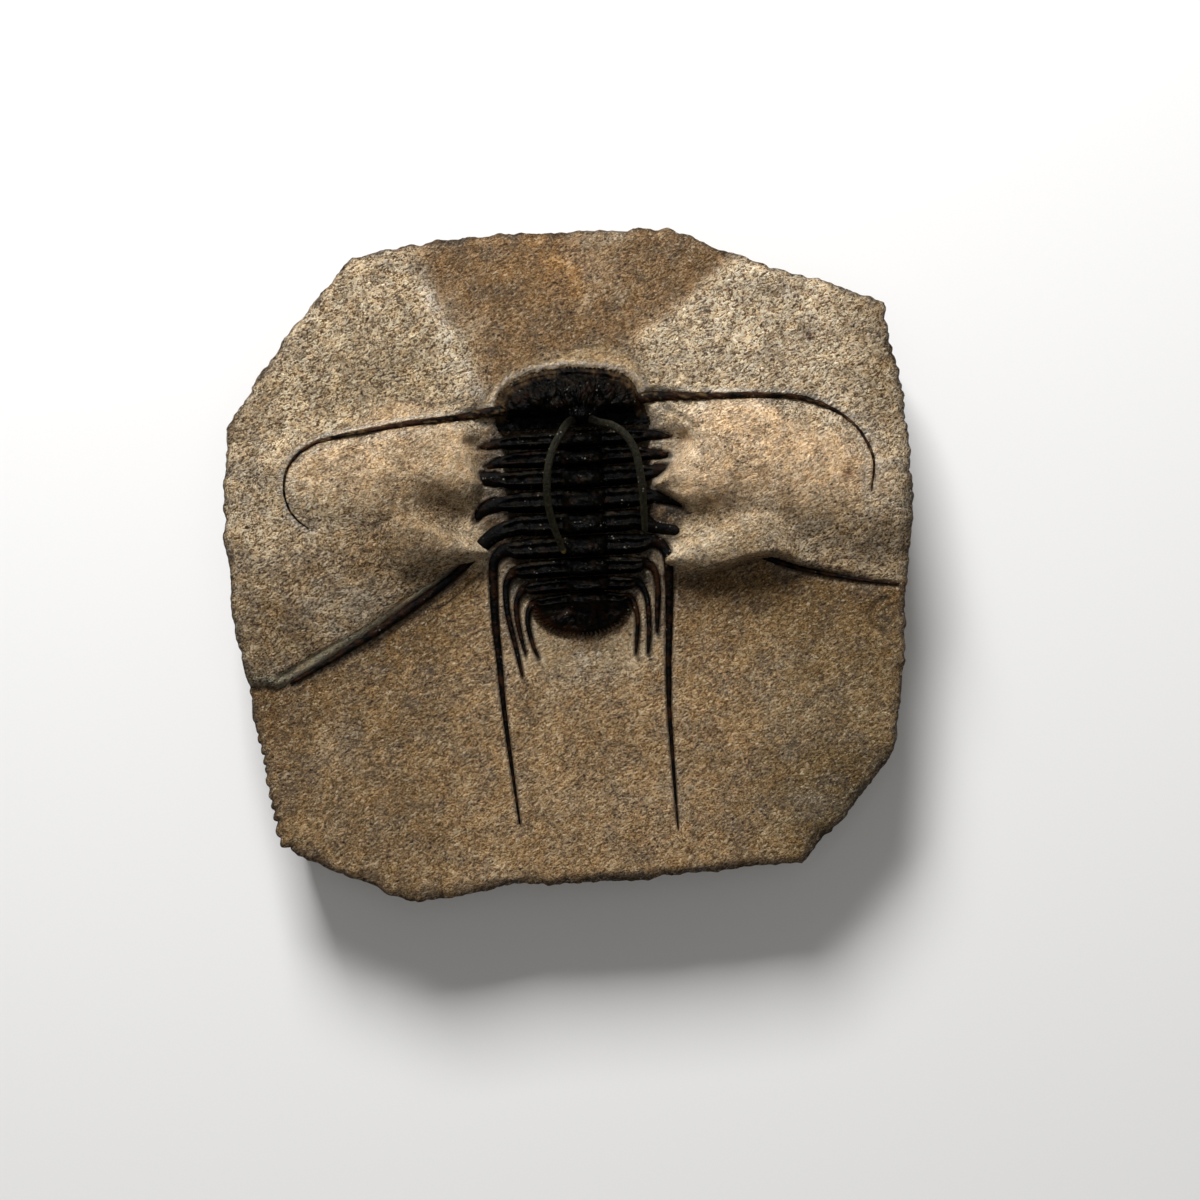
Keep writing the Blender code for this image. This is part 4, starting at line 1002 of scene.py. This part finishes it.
def plate_stations(number):
    """One thorax plate from tip to tip: x, y, middle height, half width, rib share and place across."""
    left, right = side_routes(number)
    along = SEGMENT_ALONG[number]
    reach = RIB_REACH[number]
    half = SEGMENT_HALF[number]

    def spine(route, sign):
        return [(*station, 0, sign * (reach + 2)) for station in route]

    ribs = []
    for share in np.linspace(-1, 1, 9):
        across = reach * share + AXIS_SHIFT * (1 - abs(share))
        x, y = to_slab(across, along - 0.11 * max(0, number - 4) * share ** 2)
        ribs.append((x, y, (RIB_TOP + SHELL_UNDER) / 2, half * (1 - 0.12 * share ** 4), 1, across))
    return spine(left, -1)[::-1] + ribs + spine(right, 1)


def plate_height(across, s):
    """Height of a thorax plate's rib and ring, across the slab and s from its rear to its front edge."""
    off_axis = (across - AXIS_SHIFT) / RING_HALF_WIDTH
    rounded = held(1 - np.abs(s) ** 8) ** 0.5
    rib_top = rounded * (0.66 + 0.34 * hump(s, *REAR_RIDGE) + 0.2 * hump(s, *FRONT_RIDGE))
    ring_top = rounded * (1 - 0.42 * ramp(0.2, -0.9, s) - 0.06 * hump(s, -0.35, 0.1))
    arch = np.sqrt(held(1 - off_axis ** 2))
    rib_height = SHELL_UNDER + (RIB_TOP - SHELL_UNDER) * rib_top
    rib_height = rib_height - 0.45 * rounded * hump(np.abs(off_axis), 1.1, 0.13)
    ring_height = SHELL_UNDER + (RING_TOP - SHELL_UNDER) * ring_top * (0.3 + 0.7 * arch)
    ring_height = np.where(np.abs(off_axis) < 1, ring_height, SHELL_UNDER)
    return RING_BLEND * np.logaddexp(rib_height / RING_BLEND, ring_height / RING_BLEND), rounded


def build_plate(number, material):
    """One thorax plate: an axial ring, two ribs with double ridges, and the spines that end them."""
    route, run = even_route(plate_stations(number), 0.2)
    sideways = across_of(route)[:, None, :]
    centre = route[:, None, :]
    half, rib, across = centre[:, :, 3], ramp(0, 0.85, centre[:, :, 4]), centre[:, :, 5]
    half = half * np.sqrt(held(np.minimum(run, run[-1] - run)[:, None] / 0.7))
    turn = np.concatenate([np.linspace(0, math.pi, 23), np.linspace(math.pi, math.tau, 8)[1:]])[None, :]
    s = -np.cos(turn)
    upper = np.sin(turn) >= -1e-6
    height, rounded = plate_height(across, s)
    knob_row = held(np.cos(math.tau * across / KNOB_PITCH)) ** 2
    height = height + 0.2 * knob_row * hump(s, 0.42, 0.2) * rib
    round_height = centre[:, :, 2] + half * np.sin(turn) * 0.95
    z = round_height + (np.where(upper, height, SHELL_UNDER) - round_height) * rib
    x = centre[:, :, 0] - sideways[:, :, 0] * half * s
    y = centre[:, :, 1] - sideways[:, :, 1] * half * s
    places = np.stack([x, y, z], axis=2)
    fine = lumps(places * (0.8, 1.3, 1), 0.7, 3, 45 + number)
    places[:, :, 2] += (0.08 + 0.26 * rib) * fine * upper * rounded
    mottle = lumps(places, 1.8, 3, 55 + number)
    crest = np.maximum(hump(s, *REAR_RIDGE), 0.8 * hump(s, *FRONT_RIDGE)) ** 4
    crest = (crest + 1.2 * hump(s, -0.72, 0.14)) * rib * upper
    worn = held(crest * (2 * mottle + 0.8 * fine - 0.05) + 0.2 * fine * rib, 0, 0.9)
    thin = held(0.15 + 1.4 * mottle + fine) * (1 - rib) * held(1.3 - half, 0, 0.9)
    rusty = held(2 * lumps(places, 1.3, 2, 75) - 0.55, 0, 0.6) * rib
    brown = np.maximum(0.8 * thin, 0.35 * rusty)[:, :, None]
    bm = new_shell_bmesh()
    add_skin(bm, places, toward(BLACK, RIDGE, worn) + (BROWN - BLACK) * brown)
    nodes = [f"thorax_segment_{number + 1}"]
    return new_piece(f"thorax_shell_{number + 1}", bm, nodes, material)


def tail_height(across, along, from_edge):
    """Height of the tail shield: a middle lobe that tapers backwards and ribs that fan out."""
    back = (TAIL_FRONT - along) / TAIL_LENGTH
    middle = across - AXIS_SHIFT / 2
    lobe = held(1 - (middle / (TAIL_LOBE_HALF * (1.1 - 0.6 * back))) ** 2) * ramp(0.95, 0.6, back)
    swell = np.sin(math.pi / 2 * held(from_edge / 2.4))
    fan = np.arctan2(back * TAIL_LENGTH, np.abs(middle) + 0.3)
    ribs = np.cos(fan * 11) * ramp(0.3, 1.2, from_edge) * (lobe < 0.05)
    rings = np.cos(back * 15) * lobe
    return TAIL_RIM_TOP + TAIL_RISE * swell * 0.5 + 1.3 * lobe + 0.18 * ribs + 0.12 * rings


def build_tail(material):
    """The tail shield: a half disc with a fringe of short spines."""
    turns = np.linspace(math.pi, math.tau, 31)
    outline = np.column_stack([TAIL_HALF_WIDTH * np.cos(turns), TAIL_FRONT + TAIL_LENGTH * np.sin(turns)])
    origin = np.array((AXIS_SHIFT / 2, TAIL_FRONT))
    plan, height, from_edge = fan_skin(origin, outline, 26, TAIL_TEETH, TAIL_TOOTH, tail_height)
    own = np.dstack([plan, height])
    fine = lumps(own, 0.8, 3, 65)
    mottle = lumps(own, 1.5, 3, 67)
    stains = toward(BLACK, RIDGE, 0.6 * held(0.1 + 0.9 * mottle + 0.6 * fine))
    stains = toward(stains, 0.5 * BROWN, held(1.6 * lumps(own, 1.3, 2, 69), 0, 0.6))
    border = ramp(1.3, 0.3, from_edge) * held(0.2 - 0.1 * plan[:, :, 0] + 0.7 * mottle, 0, 0.8)
    bm = new_shell_bmesh()
    height = height + 0.32 * fine * ramp(0, 0.8, from_edge)
    add_shield(bm, plan, height, toward(stains, 0.7 * BROWN, border))
    return new_piece("tail_shell", bm, ["pygidium"], material)


# Materials

LEAN = math.radians(33)      # direction of the tool's strokes on the rock


def new_material(name):
    """A material with its node tree and its shader."""
    material = bpy.data.materials.new(name)
    material.use_nodes = True
    return material, material.node_tree, material.node_tree.nodes["Principled BSDF"]


def put(socket, value):
    """Links another node's socket, or sets the socket's own value."""
    if isinstance(value, bpy.types.NodeSocket):
        socket.id_data.links.new(value, socket)
    elif socket.type == "RGBA":
        socket.default_value = (*value, 1)
    else:
        socket.default_value = value


def add_node(tree, kind, **inputs):
    """A node with its inputs set or linked. An input's name has _ for each space."""
    made = tree.nodes.new(kind)
    for name, value in inputs.items():
        put(made.inputs[name.replace("_", " ")], value)
    return made


def tree_of(*values):
    """The node tree of the first socket among these."""
    return next(value.id_data for value in values if isinstance(value, bpy.types.NodeSocket))


def mixed(share, first, second, way="MIX"):
    """Two colours mixed by a share."""
    mix = tree_of(share, first, second).nodes.new("ShaderNodeMix")
    mix.data_type = "RGBA"
    mix.blend_type = way
    for number, value in ((0, share), (6, first), (7, second)):
        put(mix.inputs[number], value)
    return mix.outputs[2]


def calculated(way, first, second=0):
    """The sum, product or such of two values."""
    made = tree_of(first, second).nodes.new("ShaderNodeMath")
    made.operation = way
    put(made.inputs[0], first)
    put(made.inputs[1], second)
    return made.outputs[0]


def times(first, second):
    """The product of two values."""
    return calculated("MULTIPLY", first, second)


def plus(first, second):
    """The sum of two values."""
    return calculated("ADD", first, second)


def ranged(value, low, high, to_low=0, to_high=1):
    """A value stretched from one range to another, held at its ends."""
    ends = {"From_Min": low, "From_Max": high, "To_Min": to_low, "To_Max": to_high}
    return add_node(value.id_data, "ShaderNodeMapRange", Value=value, **ends).outputs["Result"]


def stretched(tree, turn, lengths):
    """Object coordinates turned about the vertical and divided by lengths in millimetres."""
    places = tree.nodes.new("ShaderNodeTexCoord").outputs["Object"]
    for setting in ({"Rotation": (0, 0, -turn)}, {"Scale": [1 / (length * MM) for length in lengths]}):
        places = add_node(tree, "ShaderNodeMapping", Vector=places, **setting).outputs[0]
    return places


def noise_at(tree, turn, lengths, detail, rough=0.55, distortion=0):
    """Noise with lumps of these lengths in millimetres."""
    made = add_node(tree, "ShaderNodeTexNoise", Vector=stretched(tree, turn, lengths), Scale=1,
                    Detail=detail, Roughness=rough, Distortion=distortion)
    return made.outputs["Fac"]


def cells_at(tree, turn, lengths):
    """Distance to the nearest of points that lie these lengths apart, in millimetres."""
    places = stretched(tree, turn, lengths)
    return add_node(tree, "ShaderNodeTexVoronoi", Vector=places, Scale=1).outputs["Distance"]


def crumbs(tree, turn, lengths):
    """Angular crumbs: 0 in the cracks between them to 1 inside, and a shade of its own for each."""
    places = stretched(tree, turn, lengths)
    warp = add_node(tree, "ShaderNodeTexNoise", Vector=places, Scale=0.9, Detail=2)
    moved = tree.nodes.new("ShaderNodeVectorMath")
    moved.operation = "MULTIPLY_ADD"
    for number, value in enumerate((warp.outputs["Color"], (1.1, 1.1, 1.1), places)):
        put(moved.inputs[number], value)
    edges, cells = [
        add_node(tree, "ShaderNodeTexVoronoi", Vector=moved.outputs[0], Scale=1) for _ in range(2)]
    edges.feature = "DISTANCE_TO_EDGE"
    shade = add_node(tree, "ShaderNodeSeparateColor", Color=cells.outputs["Color"])
    return ranged(edges.outputs["Distance"], 0, 0.1), shade.outputs["Red"]


def named_value(tree, name, output="Fac"):
    """An attribute of the mesh."""
    made = tree.nodes.new("ShaderNodeAttribute")
    made.attribute_name = name
    return made.outputs[output]


def limestone(rock):
    """Worked limestone: light and dark flecks that lean one way, dark pits, and a peened bump."""
    material, tree, shader = new_material("limestone")
    tint = named_value(tree, "tint", "Color")
    grit = named_value(tree, "grit")
    fleck = noise_at(tree, LEAN, (0.66, 0.3, 0.4), 3, 0.62, 0.9)
    speck = noise_at(tree, 0, (0.3, 0.3, 0.3), 2, 0.7)
    patch = noise_at(tree, 0, (3.4, 3.4, 3.4), 3)
    hue = noise_at(tree, 1, (1.6, 1.6, 1.6), 4, 0.6)
    web = noise_at(tree, LEAN, (1.7, 1.1, 1.2), 4, 0.68, 1.4)
    web_line = ranged(calculated("ABSOLUTE", calculated("SUBTRACT", web, 0.5)), 0.004, 0.03, 1, 0)
    crack = times(web_line, ranged(patch, 0.38, 0.6, 0.2, 1))
    crumb_edge, crumb_shade = crumbs(tree, LEAN, (0.62, 0.4, 0.5))
    relief = plus(times(fleck, 0.6), times(speck, 0.4))
    pit = ranged(cells_at(tree, 0.6, (1.3, 0.8, 0.8)), 0.15, 0.24, 1, 0)
    pit = times(pit, ranged(patch, 0.46, 0.56))
    contrast = times(grit, rock.stipple)
    cool, warm = [mixed(1, tint, colour, "MULTIPLY") for colour in (rock.cool_fleck, rock.warm_fleck)]
    colour = mixed(ranged(hue, 0.38, 0.62), cool, warm)
    shade = mixed(ranged(relief, 0.432, 0.53), rock.fleck_dark, rock.fleck_light)
    crumb = mixed(crumb_shade, (0.6, 0.53, 0.43), (1.42, 1.43, 1.44))
    cracked = times(crack, ranged(grit, 0, 0.8, 0.2, 0.85))
    for share, factor in ((contrast, shade), (times(contrast, 0.9), crumb), (cracked, (0.26, 0.18, 0.1))):
        colour = mixed(share, colour, factor, "MULTIPLY")
    chips = times(ranged(relief, 0.54, 0.61, 0, 0.9), times(contrast, ranged(crumb_shade, 0.3, 0.7)))
    colour = mixed(chips, colour, rock.chip_colour)
    greyed = times(ranged(patch, 0.45, 0.7, 0, 0.5), grit)
    colour = mixed(greyed, colour, mixed(0.5, colour, rock.grey_patch))
    put(shader.inputs["Base Color"], mixed(times(pit, 0.75), colour, rock.pit_colour))
    put(shader.inputs["Roughness"], ranged(speck, 0.3, 0.7, 0.95, 0.7))
    shader.inputs["Specular IOR Level"].default_value = 0.3
    dents = plus(times(pit, 0.2), times(crack, 0.1))
    grain = times(plus(relief, times(crumb_edge, 0.08)), contrast)
    add_bump(shader, 1, rock.peen_depth, calculated("SUBTRACT", grain, dents))
    return material


def add_bump(shader, strength, depth, height):
    """Gives the shader a bump of a depth in millimetres."""
    bump = add_node(height.id_data, "ShaderNodeBump", Strength=strength, Distance=depth * MM, Height=height)
    put(shader.inputs["Normal"], bump.outputs[0])


def calcite(shell):
    """Black calcite shell: a dull gloss, brown and grey where the stain says, with tiny glints."""
    material, tree, shader = new_material("black_calcite")
    fine = noise_at(tree, 0, (0.3, 0.3, 0.3), 3, 0.6)
    cloud = noise_at(tree, 0, (1.8, 1.8, 1.8), 3)
    glint = times(ranged(cells_at(tree, 0.3, (0.7, 0.7, 0.7)), 0.26, 0.14), ranged(cloud, 0.57, 0.63))
    shade = mixed(fine, (0.45, 0.45, 0.45), (1.5, 1.5, 1.5))
    colour = mixed(1, named_value(tree, "stain", "Color"), shade, "MULTIPLY")
    put(shader.inputs["Base Color"], mixed(times(glint, 0.6), colour, shell.glint_colour))
    put(shader.inputs["Roughness"], ranged(fine, 0.3, 0.7, shell.gloss_low, shell.gloss_high))
    shader.inputs["Specular IOR Level"].default_value = 0.075
    add_bump(shader, 0.7, shell.grain_depth, fine)
    return material


# The stage

SKY_COLOUR = (1, 0.95, 0.89)
KEY_PLACE, KEY_SIZE = (-0.14, 0.56, 0.46), 0.26
OVERHEAD_PLACE, OVERHEAD_SIZE = (0.05, -0.05, 0.9), 0.6
LIGHT_TARGET = (0, 0, 0.02)


def build_floor(stage):
    """A pale floor that the slab lies on."""
    bm = bmesh.new()
    bmesh.ops.create_grid(bm, x_segments=1, y_segments=1, size=stage.floor_size / 2)
    mesh = bpy.data.meshes.new("floor")
    bm.to_mesh(mesh)
    bm.free()
    material, _, shader = new_material("pale_floor")
    put(shader.inputs["Base Color"], stage.floor_colour)
    shader.inputs["Roughness"].default_value = 0.8
    mesh.materials.append(material)
    floor = place_object("floor", mesh)


def add_softbox(name, place, power, size):
    """A square soft light that looks at the slab."""
    light = bpy.data.lights.new(name, "AREA")
    light.energy = power
    light.size = size
    lamp = place_object(name, light)
    lamp.location = place
    lamp.rotation_euler = (Vector(LIGHT_TARGET) - Vector(place)).to_track_quat("-Z", "Y").to_euler()


def build_camera(stage):
    """A camera straight over the slab."""
    camera = bpy.data.cameras.new("camera")
    camera.lens = stage.lens
    camera.clip_start = 0.01
    seat = place_object("camera", camera)
    away = stage.lens / camera.sensor_width * stage.view_width
    seat.location = (stage.view_x, stage.view_y, stage.view_z + away)
    bpy.context.scene.camera = seat


# What a user would change

SHARE = {"min": 0, "max": 1, "subtype": "FACTOR"}
COLOUR = {"size": 3, "subtype": "COLOR", "min": 0, "max": 1}
FLECK = {"size": 3, "subtype": "COLOR", "min": 0, "max": 3}
LENGTH = {"unit": "LENGTH"}
POWER = {"unit": "POWER", "min": 0}


class FossilRock(bpy.types.PropertyGroup):
    cells: IntProperty(
        name="Face cells", description="Cells along each side of the slab's face",
        default=270, min=40, max=300)
    stipple: FloatProperty(
        name="Stipple", description="Strength of the light and dark flecks", default=1, **SHARE)
    peen_depth: FloatProperty(
        name="Peen depth", description="Depth of the finest pecks in millimetres", default=2, min=0, max=3)
    fleck_dark: FloatVectorProperty(
        name="Dark flecks", description="What dark flecks multiply the rock's colour by",
        default=(0.27, 0.19, 0.105), **FLECK)
    fleck_light: FloatVectorProperty(
        name="Light flecks", description="What light flecks multiply the rock's colour by",
        default=(2, 2.08, 2.24), **FLECK)
    warm_fleck: FloatVectorProperty(
        name="Warm flecks", description="What ochre flecks multiply the rock's colour by",
        default=(1.05, 0.98, 0.87), **FLECK)
    cool_fleck: FloatVectorProperty(
        name="Cool flecks", description="What grey flecks multiply the rock's colour by",
        default=(0.97, 1, 1.04), **FLECK)
    chip_colour: FloatVectorProperty(
        name="Chips", description="Colour of the brightest fresh chips",
        default=linear(225, 215, 195), **COLOUR)
    grey_patch: FloatVectorProperty(
        name="Grey patches", description="Colour of the bluish grey patches",
        default=linear(150, 145, 136), **COLOUR)
    pit_colour: FloatVectorProperty(
        name="Pits", description="Colour of the small dark pits", default=linear(42, 32, 24), **COLOUR)


class FossilShell(bpy.types.PropertyGroup):
    gloss_low: FloatProperty(
        name="Gloss, smooth", description="Roughness of the smoothest shell", default=0.3, **SHARE)
    gloss_high: FloatProperty(
        name="Gloss, dull", description="Roughness of the dullest shell", default=0.62, **SHARE)
    grain_depth: FloatProperty(
        name="Grain depth", description="Depth of the shell's fine grain in millimetres",
        default=0.3, min=0, max=1)
    glint_colour: FloatVectorProperty(
        name="Glints", description="Colour of the tiny calcite glints",
        default=linear(128, 124, 114), **COLOUR)


class FossilStage(bpy.types.PropertyGroup):
    floor_size: FloatProperty(
        name="Floor", description="Length of the floor's sides", default=6, min=1, **LENGTH)
    floor_colour: FloatVectorProperty(
        name="Floor colour", description="Colour of the floor", default=(0.86, 0.86, 0.86), **COLOUR)
    lens: FloatProperty(
        name="Lens", description="Focal length in millimetres", default=66, min=20, max=200)
    view_width: FloatProperty(
        name="View width", description="Width that the picture takes in at the slab's face",
        default=0.1846, min=0.05, **LENGTH)
    view_x: FloatProperty(
        name="View across", description="Place under the camera, across", default=0.0048, **LENGTH)
    view_y: FloatProperty(
        name="View along", description="Place under the camera, along", default=-0.0052, **LENGTH)
    view_z: FloatProperty(
        name="View height", description="Height at which the picture has its width", default=0.024, **LENGTH)
    key_power: FloatProperty(
        name="Key light", description="Power of the softbox beyond the head", default=7.5, **POWER)
    fill_power: FloatProperty(
        name="Fill light", description="Power of the overhead softbox", default=1, **POWER)
    sky: FloatProperty(
        name="Sky", description="Strength of the even light from all round", default=0.13, min=0)


def shell_material(context):
    """The shell's material, made once for all its plates."""
    return bpy.data.materials.get("black_calcite") or calcite(context.scene.fossil_shell)


class FOSSIL_OT_rock(bpy.types.Operator):
    """Build the slab of limestone"""
    bl_idname = "fossil.rock"
    bl_label = "Rock slab"

    def execute(self, context):
        rock = context.scene.fossil_rock
        build_rock(rock.cells, limestone(rock))
        return {"FINISHED"}


class FOSSIL_OT_head(bpy.types.Operator):
    """Build the head shield, its cheek spines and its horns"""
    bl_idname = "fossil.head"
    bl_label = "Head shield"

    def execute(self, context):
        build_head(shell_material(context))
        return {"FINISHED"}


class FOSSIL_OT_thorax(bpy.types.Operator):
    """Build the nine thorax plates and their spines"""
    bl_idname = "fossil.thorax"
    bl_label = "Thorax plates"

    def execute(self, context):
        for number in range(len(SEGMENT_ALONG)):
            build_plate(number, shell_material(context))
        return {"FINISHED"}


class FOSSIL_OT_tail(bpy.types.Operator):
    """Build the tail shield"""
    bl_idname = "fossil.tail"
    bl_label = "Tail shield"

    def execute(self, context):
        build_tail(shell_material(context))
        return {"FINISHED"}


class FOSSIL_OT_stage(bpy.types.Operator):
    """Set up the pale floor, the soft lights and the camera"""
    bl_idname = "fossil.stage"
    bl_label = "Stage"

    def execute(self, context):
        stage = context.scene.fossil_stage
        build_floor(stage)
        add_softbox("key", KEY_PLACE, stage.key_power, KEY_SIZE)
        add_softbox("overhead", OVERHEAD_PLACE, stage.fill_power, OVERHEAD_SIZE)
        world = bpy.data.worlds.new("soft_sky")
        world.use_nodes = True
        sky = world.node_tree.nodes["Background"]
        put(sky.inputs["Color"], SKY_COLOUR)
        put(sky.inputs["Strength"], stage.sky)
        context.scene.world = world
        context.scene.view_settings.view_transform = "Standard"
        build_camera(stage)
        return {"FINISHED"}


class FOSSIL_PT_panel(bpy.types.Panel):
    """Lists the pieces of the fossil and their settings"""
    bl_idname = "FOSSIL_PT_panel"
    bl_label = "Fossil"
    bl_space_type = "VIEW_3D"
    bl_region_type = "UI"
    bl_category = "Fossil"

    def draw(self, context):
        scene = context.scene
        for settings, makers in (
            (scene.fossil_rock, (FOSSIL_OT_rock,)),
            (scene.fossil_shell, (FOSSIL_OT_head, FOSSIL_OT_thorax, FOSSIL_OT_tail)),
            (scene.fossil_stage, (FOSSIL_OT_stage,)),
        ):
            box = self.layout.box()
            for name in settings.__annotations__:
                box.prop(settings, name)
            for maker in makers:
                box.operator(maker.bl_idname)


SETTINGS = {"fossil_rock": FossilRock, "fossil_shell": FossilShell, "fossil_stage": FossilStage}
OPERATORS = (FOSSIL_OT_rock, FOSSIL_OT_head, FOSSIL_OT_thorax, FOSSIL_OT_tail, FOSSIL_OT_stage)


def register():
    for made in (*SETTINGS.values(), *OPERATORS, FOSSIL_PT_panel):
        bpy.utils.register_class(made)
    for name, group in SETTINGS.items():
        setattr(bpy.types.Scene, name, PointerProperty(type=group))


def unregister():
    for name in SETTINGS:
        delattr(bpy.types.Scene, name)
    for made in (FOSSIL_PT_panel, *OPERATORS[::-1], *SETTINGS.values()):
        bpy.utils.unregister_class(made)


def main():
    register()
    bpy.ops.fossil.rock()
    bpy.ops.fossil.head()
    bpy.ops.fossil.thorax()
    bpy.ops.fossil.tail()
    bpy.ops.fossil.stage()


if __name__ == "__main__":
    main()
